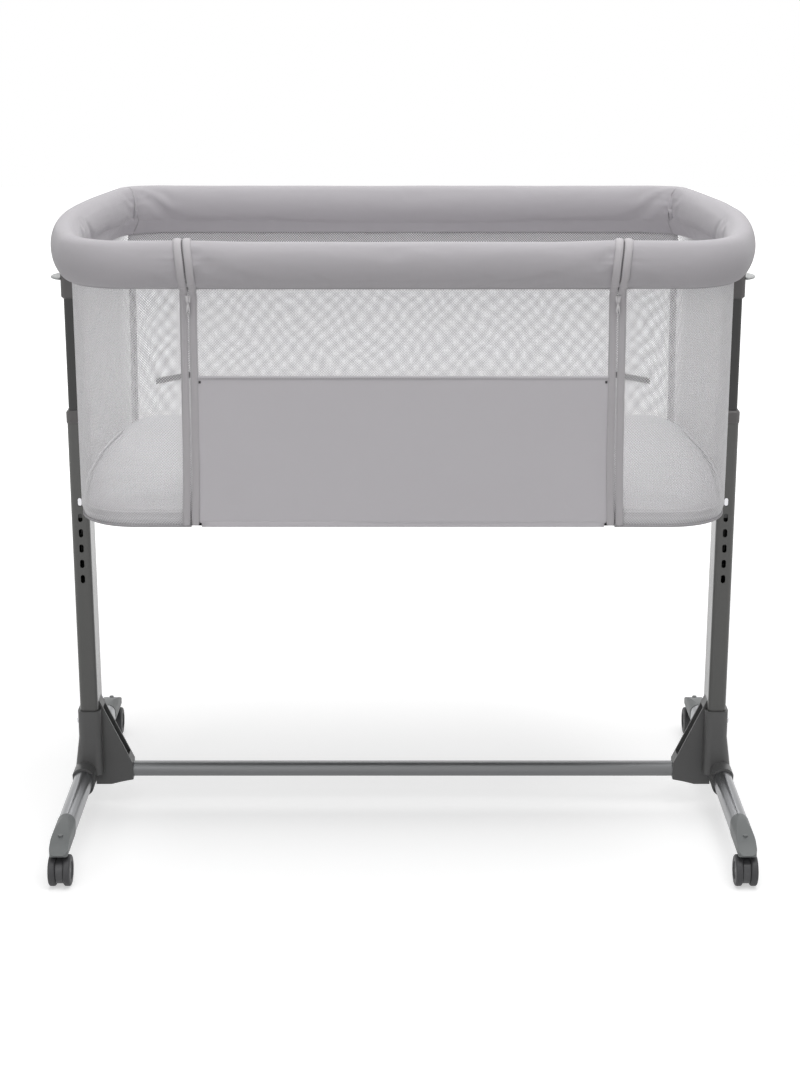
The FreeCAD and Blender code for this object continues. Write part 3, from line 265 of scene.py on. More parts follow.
class Swatch(Canvas):
    """One material and the nodes drawn in it."""

    def __init__(self, name: str) -> None:
        """Starts an empty material.

        Args:
            name: The material's name.
        """
        self.material = bpy.data.materials.new(name)
        super().__init__(self.material, "ShaderNodeOutputMaterial")

    def place(self, source: str) -> Value:
        """The point's coordinates: "UV" follows the cloth, "Object" is fixed in the crib."""
        return self.node("ShaderNodeTexCoord", output=source)

    def split(self, vector: Value) -> tuple[Value, Value, Value]:
        """The three parts of a vector."""
        first = self.node("ShaderNodeSeparateXYZ", {}, {0: vector})
        return first, first.sibling(1), first.sibling(2)

    def grain(self, scale: float, detail: float = 2.0, source: str = "Object",
              stretch: Sequence[float] = (1.0, 1.0, 1.0)) -> Value:
        """Cloudy noise from 0 to 1.

        Args:
            scale: Clouds per metre.
            detail: Octaves of finer clouds.
            source: The coordinates it follows.
            stretch: Scale along each axis.

        Returns:
            The noise value.
        """
        vector = self.node("ShaderNodeMapping", {}, {"Vector": self.place(source), "Scale": tuple(stretch)})
        return self.node("ShaderNodeTexNoise", {}, {"Vector": vector, "Scale": scale, "Detail": detail})

    def tint(self, colour: Sequence[float], shade: Value, spread: float) -> Value:
        """A colour that lightens and darkens with a value.

        Args:
            colour: Linear colour.
            shade: Value from 0 to 1.
            spread: How far the colour moves each way, as a share of it.

        Returns:
            The varied colour.
        """
        dark = [channel * (1 - spread) for channel in colour] + [1.0]
        light = [min(1.0, channel * (1 + spread)) for channel in colour] + [1.0]
        return self.blend(shade, dark, light)

    def blend(self, factor: Feed, first: Feed, second: Feed) -> Value:
        """Mixes two colours."""
        return self.node("ShaderNodeMix", {"data_type": "RGBA"}, {0: factor, 6: first, 7: second}, 2)

    def bump(self, height: Value, depth: float, under: Optional[Value] = None) -> Value:
        """Turns a height from 0 to 1 into a normal.

        Args:
            height: The relief.
            depth: Its depth in metres.
            under: A normal that it lies on.

        Returns:
            The normal.
        """
        inputs = {"Height": height, "Distance": depth, "Strength": 1.0}
        if under is not None:
            inputs["Normal"] = under
        return self.node("ShaderNodeBump", {}, inputs)

    def finish(self, **inputs: Feed) -> bpy.types.Material:
        """Ends the material in a Principled shader.

        Args:
            inputs: Sockets by name, with _ for spaces.

        Returns:
            The material.
        """
        named = {key.replace("_", " "): value for key, value in inputs.items()}
        self.close(self.node("ShaderNodeBsdfPrincipled", {}, named, "BSDF"))
        return self.material


def linear(red: int, green: int, blue: int) -> tuple[float, float, float]:
    """Linear colour from eight-bit display values.

    Args:
        red: Red, from 0 to 255.
        green: Green, from 0 to 255.
        blue: Blue, from 0 to 255.

    Returns:
        The three linear values.
    """
    def channel(value: int) -> float:
        """One linear value."""
        share = value / 255
        return share / 12.92 if share <= 0.04045 else ((share + 0.055) / 1.055) ** 2.4
    return channel(red), channel(green), channel(blue)


# ------------------------------------------------------------------ finishes
@dataclass(frozen=True)
class Cloth:
    """Plain-woven cover fabric."""

    name: str
    colour: tuple[float, float, float]
    thread: float = 0.00055
    relief: float = 0.00012
    cloud: float = 0.035
    sheen: float = 0.25
    roughness: float = 0.85

    def material(self) -> bpy.types.Material:
        """The finish as a material."""
        swatch = Swatch(self.name)
        across, along, _ = swatch.split(swatch.place("UV"))
        turns = 2 * math.pi / self.thread
        weave = (across * turns).sine() * (along * turns).sine() * 0.5 + 0.5
        fibre = swatch.grain(900.0, 3.0)
        cloud = swatch.grain(9.0, 2.0)
        crease = swatch.grain(38.0, 3.0)
        shade = (cloud * 0.55 + fibre * 0.25 + weave * 0.2).clamped()
        soft = swatch.bump(crease, 0.0009)
        normal = swatch.bump(weave * 0.7 + fibre * 0.3, self.relief, soft)
        return swatch.finish(Base_Color=swatch.tint(self.colour, shade, self.cloud), Normal=normal,
                             Roughness=self.roughness + (fibre - 0.5) * 0.12, Sheen_Weight=self.sheen,
                             Sheen_Roughness=0.45)


@dataclass(frozen=True)
class Net:
    """Warp-knitted net: staggered holes between fine threads.

    The knit is closer on the end walls, within dense_within of the crib's middle line. The pattern wanders by
    drift, and least is the opacity that stays in a hole.
    """

    name: str
    colour: tuple[float, float, float]
    pitch: float = 0.00177
    drift: float = 0.0022
    dense_within: float = 0.236
    dense_run: float = 0.025
    density: float = 0.75
    sharpness: float = 4.5
    least: float = 0.24

    def material(self) -> bpy.types.Material:
        """The finish as a material."""
        swatch = Swatch(self.name)
        across, along, _ = swatch.split(swatch.place("UV"))
        across = across + (swatch.grain(13.0, 1.0, "UV") - 0.5) * self.drift
        along = along + (swatch.grain(17.0, 1.0, "UV", (1.0, -1.0, 1.0)) - 0.5) * self.drift
        turns = math.pi / self.pitch
        field_height = (across * turns).cosine() * (along * turns).cosine()
        middle = abs(swatch.split(swatch.place("Object"))[1])
        dense = ((self.dense_within - middle) / self.dense_run).clamped() * self.density
        pattern = ((dense - field_height) * self.sharpness + 0.5).clamped()
        cover = pattern * (1.0 - self.least) + self.least
        twist = ((across + along) * (turns * 4)).sine() * 0.5 + 0.5
        fibre = swatch.grain(700.0, 2.0)
        cloud = swatch.grain(6.0, 1.0)
        shade = (cloud * 0.5 + twist * 0.25 + fibre * 0.25).clamped()
        rounding = (1.0 - field_height) * 0.5
        normal = swatch.bump(rounding * 0.8 + twist * 0.2, 0.0004)
        return swatch.finish(Base_Color=swatch.tint(self.colour, shade, 0.06), Normal=normal, Alpha=cover,
                             Roughness=0.7 + (fibre - 0.5) * 0.15, Sheen_Weight=0.15)


@dataclass(frozen=True)
class Webbing:
    """Ribbed narrow tape with a zigzag weave."""

    name: str
    colour: tuple[float, float, float]
    rib: float = 0.0011
    relief: float = 0.00025
    spread: float = 0.16

    def material(self) -> bpy.types.Material:
        """The finish as a material."""
        swatch = Swatch(self.name)
        across, along, _ = swatch.split(swatch.place("UV"))
        turns = 2 * math.pi / self.rib
        zigzag = abs((across * (turns * 0.25)).sine()) * 1.6
        weave = (along * turns + zigzag * 2.0).sine() * 0.5 + 0.5
        fibre = swatch.grain(800.0, 2.0)
        shade = (weave * 0.6 + fibre * 0.4).clamped()
        return swatch.finish(Base_Color=swatch.tint(self.colour, shade, self.spread),
                             Normal=swatch.bump(weave, self.relief), Sheen_Weight=0.2,
                             Roughness=0.75 + (fibre - 0.5) * 0.2)


@dataclass(frozen=True)
class Plastic:
    """Moulded plastic with a fine spark-eroded grain."""

    name: str
    colour: tuple[float, float, float]
    roughness: float = 0.48
    relief: float = 0.00006
    grain: float = 1400.0
    spread: float = 0.07

    def material(self) -> bpy.types.Material:
        """The finish as a material."""
        swatch = Swatch(self.name)
        pores = swatch.grain(self.grain, 3.0)
        flow = swatch.grain(14.0, 3.0)
        scuff = swatch.grain(55.0, 4.0, stretch=(1.0, 1.0, 0.35))
        shade = (flow * 0.6 + scuff * 0.4).clamped()
        return swatch.finish(Base_Color=swatch.tint(self.colour, shade, self.spread),
                             Normal=swatch.bump(pores, self.relief),
                             Roughness=self.roughness + (scuff - 0.5) * 0.22 + (pores - 0.5) * 0.1)


@dataclass(frozen=True)
class PaintedMetal:
    """Powder-coated tube: satin, with a faint orange peel."""

    name: str
    colour: tuple[float, float, float]
    roughness: float = 0.36
    relief: float = 0.00003
    spread: float = 0.05
    coat: float = 0.5

    def material(self) -> bpy.types.Material:
        """The finish as a material."""
        swatch = Swatch(self.name)
        peel = swatch.grain(420.0, 2.0)
        speck = swatch.grain(2600.0, 1.0)
        cloud = swatch.grain(11.0, 2.0)
        shade = (cloud * 0.6 + speck * 0.4).clamped()
        return swatch.finish(Base_Color=swatch.tint(self.colour, shade, self.spread), Metallic=0.15,
                             Normal=swatch.bump(peel * 0.7 + speck * 0.3, self.relief),
                             Roughness=self.roughness + (cloud - 0.5) * 0.12, Coat_Weight=self.coat,
                             Coat_Roughness=0.12)


@dataclass(frozen=True)
class BareMetal:
    """Drawn metal with fine lines along one axis."""

    name: str
    colour: tuple[float, float, float]
    roughness: float = 0.28
    stretch: tuple[float, float, float] = (60.0, 1.0, 60.0)
    relief: float = 0.00002
    metallic: float = 1.0

    def material(self) -> bpy.types.Material:
        """The finish as a material."""
        swatch = Swatch(self.name)
        lines = swatch.grain(18.0, 4.0, stretch=self.stretch)
        smear = swatch.grain(12.0, 3.0)
        shade = (lines * 0.5 + smear * 0.5).clamped()
        return swatch.finish(Base_Color=swatch.tint(self.colour, shade, 0.08), Metallic=self.metallic,
                             Normal=swatch.bump(lines, self.relief),
                             Roughness=self.roughness + (smear - 0.5) * 0.14 + (lines - 0.5) * 0.08)


@dataclass(frozen=True)
class Board:
    """Pressed board with flecks of fibre."""

    name: str
    colour: tuple[float, float, float]

    def material(self) -> bpy.types.Material:
        """The finish as a material."""
        swatch = Swatch(self.name)
        fleck = swatch.grain(260.0, 4.0, stretch=(1.0, 2.5, 1.0))
        cloud = swatch.grain(8.0, 2.0)
        shade = (fleck * 0.7 + cloud * 0.3).clamped()
        return swatch.finish(Base_Color=swatch.tint(self.colour, shade, 0.22),
                             Normal=swatch.bump(fleck, 0.0001), Roughness=0.8 + (fleck - 0.5) * 0.1)


Finish = Union[Cloth, Net, Webbing, Plastic, PaintedMetal, BareMetal, Board]


class Finishes:
    """The crib's finishes, each drawn once."""

    RIM = Cloth("rim_cover_fabric", linear(177, 174, 178), thread=0.0005)
    PANEL = Cloth("panel_fabric_weave", linear(200, 197, 201), thread=0.00062, cloud=0.03)
    FLAP = Cloth("zip_flap_fabric", linear(184, 181, 184), thread=0.0005)
    MATTRESS = Cloth("mattress_cover_knit", linear(226, 224, 227), thread=0.0009, relief=0.0002)
    FLOOR = Cloth("floor_fabric", linear(52, 52, 55), thread=0.0008, sheen=0.1, cloud=0.1)
    NET = Net("net_fabric", linear(218, 217, 219))
    REAR_NET = Net("rear_net_fabric", linear(218, 217, 219), drift=0.0045, sharpness=3.0, least=0.24)
    BINDING = Webbing("corner_binding", linear(62, 61, 64))
    # Painted shade: a grey band behind the rear net under the rim, standing in for the rim's shade on the
    # net.
    BACKING = Webbing("rim_backing", linear(150, 148, 151))
    HEM = Webbing("hem_piping_weave", linear(164, 162, 165))
    STRAP = Webbing("strap_webbing", linear(30, 30, 32), rib=0.0014)
    STITCH = Webbing("sewing_thread", linear(168, 165, 168), rib=0.0004, relief=0.00008, spread=0.08)
    DARK_STITCH = Webbing("dark_thread", linear(66, 64, 66), rib=0.0004, relief=0.00008)
    COIL = Plastic("zip_coil_nylon", linear(128, 126, 128), roughness=0.4, grain=3000.0)
    SLIDER = BareMetal("zip_slider_enamel", linear(176, 174, 176), roughness=0.35, metallic=0.6)

    def __init__(self) -> None:
        """Starts with nothing drawn."""
        self.drawn: dict[str, bpy.types.Material] = {}

    def get(self, finish: Finish) -> bpy.types.Material:
        """The material of a finish, drawn the first time it is asked for."""
        if finish.name not in self.drawn:
            self.drawn[finish.name] = finish.material()
        return self.drawn[finish.name]


FINISHES = Finishes()


# ------------------------------------------------------------------ plan of the crib
@dataclass(frozen=True)
class Leg:
    """A straight or round part of a level path."""

    start: Vector
    finish: Vector
    centre: Optional[Vector] = None
    radius: float = 0.0
    angles: tuple[float, float] = (0.0, 0.0)

    @property
    def length(self) -> float:
        """Length of the leg."""
        if self.centre is None:
            return (self.finish - self.start).length
        return abs(self.angles[1] - self.angles[0]) * self.radius

    def at(self, share: float) -> tuple[Vector, Vector]:
        """The point and the outward direction a share of the way along."""
        if self.centre is None:
            run = (self.finish - self.start).normalized()
            return self.start.lerp(self.finish, share), Vector((run.y, -run.x, 0.0))
        turn = self.angles[0] + (self.angles[1] - self.angles[0]) * share
        outward = Vector((math.cos(turn), math.sin(turn), 0.0))
        return self.centre + outward * self.radius, outward


def straight(start: Vector, finish: Vector) -> Leg:
    """A straight leg."""
    return Leg(start, finish)


def bend(centre: Vector, radius: float, first: float, last: float) -> Leg:
    """A round leg between two angles in degrees."""
    return Leg(centre, centre, centre, radius, (math.radians(first), math.radians(last)))


@dataclass(frozen=True)
class Plan:
    """Bowed-end plan: straight long sides, four corner arcs and two shallow end arcs."""

    half_length: float
    half_depth: float
    corner_radius: float
    end_radius: float

    @property
    def end_x(self) -> float:
        """Where the end arc is centred."""
        return self.half_length - self.end_radius

    @property
    def corner(self) -> tuple[float, float]:
        """Where the corner arc is centred."""
        y = self.half_depth - self.corner_radius
        return self.end_x + math.sqrt((self.end_radius - self.corner_radius) ** 2 - y * y), y

    @property
    def tangent(self) -> float:
        """Angle in degrees at which the corner meets the end arc."""
        x, y = self.corner
        return math.degrees(math.atan2(y, x - self.end_x))

    def round_end(self, front_x: float, seam: float) -> list[Leg]:
        """Right-hand run from the front, around the end, to a seam on the rear corner.

        Args:
            front_x: Where it starts.
            seam: Angle in degrees at which it stops.

        Returns:
            Its legs.
        """
        x, y = self.corner
        turn = self.tangent
        return [straight(Vector((front_x, -self.half_depth, 0)), Vector((x, -self.half_depth, 0))),
                bend(Vector((x, -y, 0)), self.corner_radius, -90, -turn),
                bend(Vector((self.end_x, 0, 0)), self.end_radius, -turn, turn),
                bend(Vector((x, y, 0)), self.corner_radius, turn, seam)]

    def along_rear(self, seam: float) -> list[Leg]:
        """Run along the rear between two corner seams.

        Args:
            seam: Angle in degrees of the right-hand seam.

        Returns:
            Its legs.
        """
        x, y = self.corner
        return [bend(Vector((x, y, 0)), self.corner_radius, seam, 90),
                straight(Vector((x, self.half_depth, 0)), Vector((-x, self.half_depth, 0))),
                bend(Vector((-x, y, 0)), self.corner_radius, 90, 180 - seam)]

    def along_front(self, half: float) -> list[Leg]:
        """Straight run along the front."""
        return [straight(Vector((-half, -self.half_depth, 0)), Vector((half, -self.half_depth, 0)))]

    def half_length_at(self, y: float) -> float:
        """Half of the plan's length at one depth.

        Args:
            y: Distance from the middle line.

        Returns:
            The half length.
        """
        x, corner_y = self.corner
        y = min(abs(y), self.half_depth)
        if y <= self.end_radius * math.sin(math.radians(self.tangent)):
            return self.end_x + math.sqrt(self.end_radius ** 2 - y * y)
        return x + math.sqrt(max(0.0, self.corner_radius ** 2 - (y - corner_y) ** 2))


@dataclass(frozen=True)
class Course:
    """A path of legs, measured by its length."""

    legs: Sequence[Leg]

    @property
    def length(self) -> float:
        """Length of the whole path."""
        return sum(leg.length for leg in self.legs)

    def locate(self, distance: float) -> tuple[int, float]:
        """The leg at a distance from the start.

        Args:
            distance: The distance.

        Returns:
            The leg's number and the share of it that is passed.
        """
        for index, leg in enumerate(self.legs):
            if distance <= leg.length or index == len(self.legs) - 1:
                return index, min(1.0, max(0.0, distance / leg.length))
            distance -= leg.length
        return 0, 0.0

    def at(self, distance: float) -> tuple[Vector, Vector]:
        """The point and the outward direction at a distance from the start."""
        index, share = self.locate(distance)
        return self.legs[index].at(share)

    def sample(self, steps: int) -> list[tuple[Vector, Vector]]:
        """Points and outward directions at even steps."""
        return [self.at(self.length * step / steps) for step in range(steps + 1)]


Run = Callable[[Plan], list[Leg]]
Shape = Callable[[float, float], Vector]


# ------------------------------------------------------------------ sizes shared with the solids
@dataclass(frozen=True)
class CribSizes:
    """Sizes of the padded rim and the fabric basket.

    The seams are angles in degrees on the rear corners. The zip's knots are heights and distances from the
    crib's middle.
    """

    rim_half_length: float = 0.4436
    rim_half_depth: float = 0.270
    rim_corner: float = 0.077
    rim_end: float = 0.760
    rim_z: float = 0.8284
    pad_width: float = 0.036
    pad_height: float = 0.0585
    pad_tip: float = 0.014
    zip_x: float = 0.265
    zip_clearance: float = 0.004
    zip_knots: tuple[tuple[float, float], ...] = (
        (0.489, 0.2695), (0.560, 0.2668), (0.640, 0.2655), (0.740, 0.2642), (0.799, 0.2630), (0.830, 0.2652),
        (0.862, 0.2690))
    seam: float = 45.0
    rim_seam: float = 39.0
    wall_half_length: float = 0.4312
    wall_half_top: float = 0.268
    wall_half_bottom: float = 0.250
    wall_corner: float = 0.074
    wall_end: float = 1.350
    wall_top: float = 0.8192
    measured_z: float = 0.65
    basket_bottom: float = 0.490
    hem_rise: float = 0.014
    hem_inset: float = 0.004
    hem_curve: float = 2.2
    panel_top: float = 0.687
    hinge_gap: float = 0.0026

    @property
    def rim(self) -> Plan:
        """Centre line of the padded rim."""
        return Plan(self.rim_half_length, self.rim_half_depth, self.rim_corner, self.rim_end)

    @property
    def measured_wall(self) -> Plan:
        """Plan on which the walls' flat widths are measured."""
        return self.wall(self.measured_z)

    @property
    def zip_edge(self) -> float:
        """Where the fixed wall starts beside the zip."""
        return self.zip_x + self.zip_clearance

    def half_depth(self, z: float) -> float:
        """Half of the basket's depth at one height."""
        share = (z - self.basket_bottom) / (self.wall_top - self.basket_bottom)
        return self.wall_half_bottom + (self.wall_half_top - self.wall_half_bottom) * share

    def draw(self, z: float) -> float:
        """How far the hem draws the ends in at one height."""
        share = 1 - min(1.0, max(0.0, (z - self.basket_bottom) / self.hem_rise))
        return self.hem_inset * share ** self.hem_curve

    def wall(self, z: float) -> Plan:
        """Plan of the basket wall at one height."""
        return Plan(self.wall_half_length - self.draw(z), self.half_depth(z), self.wall_corner, self.wall_end)

    def zip_line(self, z: float) -> float:
        """Where the zip runs: it wanders a few millimetres, and leans out over the rim.

        Args:
            z: Height.

        Returns:
            Distance from the crib's middle.
        """
        for (low, first), (high, last) in zip(self.zip_knots, self.zip_knots[1:]):
            if z <= high:
                share = min(1.0, max(0.0, (z - low) / (high - low)))
                return first + (last - first) * share
        return self.zip_knots[-1][1]


SIZES = CribSizes()


# ------------------------------------------------------------------ mesh tools
class Form:
    """A bmesh with the cloth's own measure kept on its vertices."""

    def __init__(self) -> None:
        """Starts empty."""
        self.mesh = bmesh.new()
        self.around = self.mesh.verts.layers.float.new("around")
        self.along = self.mesh.verts.layers.float.new("along")

    def ring(self, points: Sequence[tuple[float, float]], wrap: float) -> list[bmesh.types.BMEdge]:
        """A closed section in the level plane.

        Args:
            points: Its corners.
            wrap: Its length around.

        Returns:
            The section's edges.
        """
        made = bmesh.ops.create_circle(self.mesh, segments=len(points), radius=1.0)["verts"]
        for index, (vertex, (x, y)) in enumerate(zip(made, points)):
            vertex.co = (x, y, 0.0)
            vertex[self.around] = wrap * index / len(points)
        return list({edge for vertex in made for edge in vertex.link_edges})

    def carry(self, edges: list[bmesh.types.BMEdge], stations: Sequence[Matrix],
              distances: Sequence[float], closed_ends: bool = True) -> None:
        """Carries a section through a row of places, one extrusion for each.

        Args:
            edges: The section, drawn at the origin.
            stations: Where the section stands in turn.
            distances: The cloth's length at each place.
            closed_ends: Whether the two ends are filled.
        """
        first = list({vertex for edge in edges for vertex in edge.verts})
        bmesh.ops.transform(self.mesh, matrix=stations[0], verts=first)
        for vertex in first:
            vertex[self.along] = distances[0]
        start = list(edges)
        for before, after, distance in zip(stations, stations[1:], distances[1:]):
            made = bmesh.ops.extrude_edge_only(self.mesh, edges=edges)["geom"]
            fresh = set(vertices_of(made))
            edges = [part for part in made if isinstance(part, bmesh.types.BMEdge)
                     and part.verts[0] in fresh and part.verts[1] in fresh]
            bmesh.ops.transform(self.mesh, matrix=after @ before.inverted(), verts=list(fresh))
            for vertex in fresh:
                vertex[self.along] = distance
        if closed_ends:
            for rim in (start, edges):
                made = bmesh.ops.edgeloop_fill(self.mesh, edges=rim)["faces"]
                bmesh.ops.poke(self.mesh, faces=made)

    def grid(self, columns: int, rows: int, width: float, height: float, shape: Shape) -> None:
        """A flat cut of cloth bent into place.

        Args:
            columns: Cells across.
            rows: Cells along.
            width: The cut's width.
            height: The cut's height.
            shape: Place of a point of the cut, from its distance across and along.
        """
        made = bmesh.ops.create_grid(self.mesh, x_segments=columns, y_segments=rows, size=0.5)["verts"]
        for vertex in made:
            across = (vertex.co.x + 0.5) * width
            along = (vertex.co.y + 0.5) * height
            vertex[self.around] = across
            vertex[self.along] = along
            vertex.co = shape(across, along)

    def bead(self, centre: Vector, axes: Sequence[Vector]) -> None:
        """A small closed stitch or tooth.

        Args:
            centre: Its middle.
            axes: Its three half sizes as directions.
        """
        made = bmesh.ops.create_uvsphere(self.mesh, u_segments=6, v_segments=4, radius=1.0)["verts"]
        matrix = Matrix.Identity(4)
        for column, axis in enumerate(axes):
            for row in range(3):
                matrix[row][column] = axis[row]
        matrix.translation = centre
        for vertex in made:
            vertex[self.around] = vertex.co.x * axes[0].length
            vertex[self.along] = vertex.co.z * axes[2].length
        bmesh.ops.transform(self.mesh, matrix=matrix, verts=made)

    def stitch(self, centre: Vector, radius: float, reach: float) -> None:
        """A stitch that lies along the crib.

        Args:
            centre: Its middle.
            radius: Half of its thickness.
            reach: Half of its length.
        """
        self.bead(centre, (Vector((0, radius, 0)), Vector((0, 0, radius)), Vector((reach, 0, 0))))

    def mirror(self) -> None:
        """Turns the form into the one for the other end of the crib."""
        bmesh.ops.scale(self.mesh, vec=(-1.0, 1.0, 1.0), verts=self.mesh.verts)
        bmesh.ops.reverse_faces(self.mesh, faces=self.mesh.faces)

    def unwrap(self, wrap: Optional[float] = None) -> None:
        """Writes the cloth's measure as UVs, in metres.

        Args:
            wrap: Length around of a closed section.
        """
        layer = self.mesh.loops.layers.uv.new("UVMap")
        for face in self.mesh.faces:
            values = [loop.vert[self.around] for loop in face.loops]
            over = wrap is not None and max(values) - min(values) > wrap / 2
            for loop, value in zip(face.loops, values):
                shift = wrap if over and value < wrap / 2 else 0.0
                loop[layer].uv = (value + shift, loop.vert[self.along])

    def piece(self, name: str, finish: Finish, wrap: Optional[float] = None, closed: bool = True,
              mirrored: bool = False) -> bpy.types.Object:
        """Turns the form into an object.

        Args:
            name: The piece's name.
            finish: Its finish.
            wrap: Length around of a closed section.
            closed: Whether its normals are worked out anew.
            mirrored: Whether it becomes the left-hand one.

        Returns:
            The object, at the origin.
        """
        if mirrored:
            self.mirror()
        if closed:
            bmesh.ops.recalc_face_normals(self.mesh, faces=self.mesh.faces)
        self.unwrap(wrap)
        data = bpy.data.meshes.new(name)
        self.mesh.to_mesh(data)
        self.mesh.free()
        data.polygons.foreach_set("use_smooth", [True] * len(data.polygons))
        data.materials.append(FINISHES.get(finish))
        made = bpy.data.objects.new(name, data)
        bpy.context.scene.collection.objects.link(made)
        return made


def vertices_of(parts: Sequence[object]) -> list[bmesh.types.BMVert]:
    """The vertices among some parts of a mesh."""
    return [part for part in parts if isinstance(part, bmesh.types.BMVert)]


def stand(point: Vector, side: Vector, out: Vector) -> Matrix:
    """The place of a section, whose z runs along the path.

    Args:
        point: Its middle.
        side: Direction of its x.
        out: Direction of its y.

    Returns:
        The place.
    """
    along = side.cross(out).normalized()
    matrix = Matrix.Identity(4)
    for column, axis in enumerate((side.normalized(), out.normalized(), along)):
        for row in range(3):
            matrix[row][column] = axis[row]
    matrix.translation = point
    return matrix


def soften(piece: bpy.types.Object, levels: int = 1) -> None:
    """Adds a subdivision surface.

    Args:
        piece: The piece.
        levels: How often its cells are divided.
    """
    modifier = piece.modifiers.new("Softening", "SUBSURF")
    modifier.levels = levels
    modifier.render_levels = levels


def thicken(piece: bpy.types.Object, thickness: float, offset: float = 0.0) -> None:
    """Gives a cut of cloth its thickness.

    Args:
        piece: The cut.
        thickness: Its thickness.
        offset: 0 to grow both ways, 1 to grow outwards only.
    """
    modifier = piece.modifiers.new("Cloth thickness", "SOLIDIFY")
    modifier.thickness = thickness
    modifier.offset = offset
    modifier.use_even_offset = True


def place_piece(piece: bpy.types.Object, body: Union[Body, str]) -> bpy.types.Object:
    """Lets a piece ride on a body and logs its size.

    Args:
        piece: The piece.
        body: What it rides on.

    Returns:
        The piece.
    """
    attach(piece, body.value if isinstance(body, Body) else body)
    LOG.info("%s on %s, %d faces", piece.name, piece["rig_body"], len(piece.data.polygons))
    return piece


@dataclass(frozen=True)
class Filling:
    """How the cloth solver swells a padded piece."""

    pressure: float = 4.0
    growth: float = 0.003
    limit: float = 0.0016
    last_frame: int = 20
    stiffness: float = 12.0
    bending: float = 2.0

    def swell(self, piece: bpy.types.Object, held: Callable[[bpy.types.MeshVertex], float]) -> None:
        """Swells a closed piece and keeps the result in its mesh.

        Args:
            piece: The closed piece.
            held: How firmly a vertex is sewn down, from 0 to 1.
        """
        group = piece.vertex_groups.new(name="sewn")
        for vertex in piece.data.vertices:
            weight = held(vertex)
            if weight > 0:
                group.add([vertex.index], weight, "REPLACE")
        modifier = piece.modifiers.new("Filling", "CLOTH")
        settings = modifier.settings
        settings.quality = 5
        settings.mass = 0.25
        settings.tension_stiffness = self.stiffness
        settings.compression_stiffness = self.stiffness
        settings.shear_stiffness = self.stiffness / 2
        settings.bending_stiffness = self.bending
        settings.use_pressure = True
        settings.uniform_pressure_force = self.pressure
        settings.shrink_min = -self.growth
        settings.effector_weights.gravity = 0.0
        settings.vertex_group_mass = "sewn"
        modifier.collision_settings.use_collision = False
        modifier.point_cache.frame_start = 1
        modifier.point_cache.frame_end = self.last_frame
        scene = bpy.context.scene
        for number in range(1, self.last_frame + 1):
            scene.frame_set(number)
        swollen = piece.evaluated_get(bpy.context.evaluated_depsgraph_get()).data
        places = [vertex.co.copy() for vertex in swollen.vertices]
        piece.modifiers.remove(modifier)
        for vertex, place in zip(piece.data.vertices, places):
            move = place - vertex.co
            if move.length > self.limit:
                move *= self.limit / move.length
            vertex.co += move
        piece.vertex_groups.remove(group)
        scene.frame_set(1)
        LOG.info("%s filled", piece.name)


def ripple(wave: float, place: float, crests: float, swing: float, share: float) -> float:
    """Small uneven waves of a cloth's edge.

    Args:
        wave: Their height.
        place: Distance along the edge.
        crests: How closely they follow one another.
        swing: How quickly their spacing changes.
        share: Share of the way across the waves, which are highest in the middle.

    Returns:
        The height at a point.
    """
    return wave * math.sin(place * crests + 2.0 * math.sin(place * swing)) * math.sin(math.pi * share)


def cut_cloth(name: str, finish: Finish, cells: tuple[int, int], size: tuple[float, float], shape: Shape,
              mirrored: bool = False) -> bpy.types.Object:
    """Bends one flat cut of cloth into a piece.

    Args:
        name: The piece's name.
        finish: Its finish.
        cells: Mesh cells across and along.
        size: The cut's width and height.
        shape: Place of a point of the cut.
        mirrored: Whether it is the left-hand one.

    Returns:
        The piece.
    """
    form = Form()
    form.grid(*cells, *size, shape)
    return form.piece(name, finish, closed=False, mirrored=mirrored)


def tube(name: str, places: Sequence[tuple[Vector, Vector]], z: float, radius: float, finish: Finish,
         mirrored: bool, segments: int = 10) -> bpy.types.Object:
    """Makes a level cord-like trim, such as piping.

    Args:
        name: The piece's name.
        places: Points and outward directions along it.
        z: Its height.
        radius: Its radius.
        finish: Its finish.
        mirrored: Whether it is the left-hand one.
        segments: Sides of its section.

    Returns:
        The piece.
    """
    form = Form()
    turns = [2 * math.pi * index / segments for index in range(segments)]
    points = [(radius * math.cos(turn), radius * math.sin(turn)) for turn in turns]
    stations = [stand(point + UP * z, outward, UP) for point, outward in places]
    distances = [0.0]
    for (before, _), (after, _) in zip(places, places[1:]):
        distances.append(distances[-1] + (after - before).length)
    wrap = 2 * math.pi * radius
    form.carry(form.ring(points, wrap), stations, distances)
    return form.piece(name, finish, wrap, mirrored=mirrored)


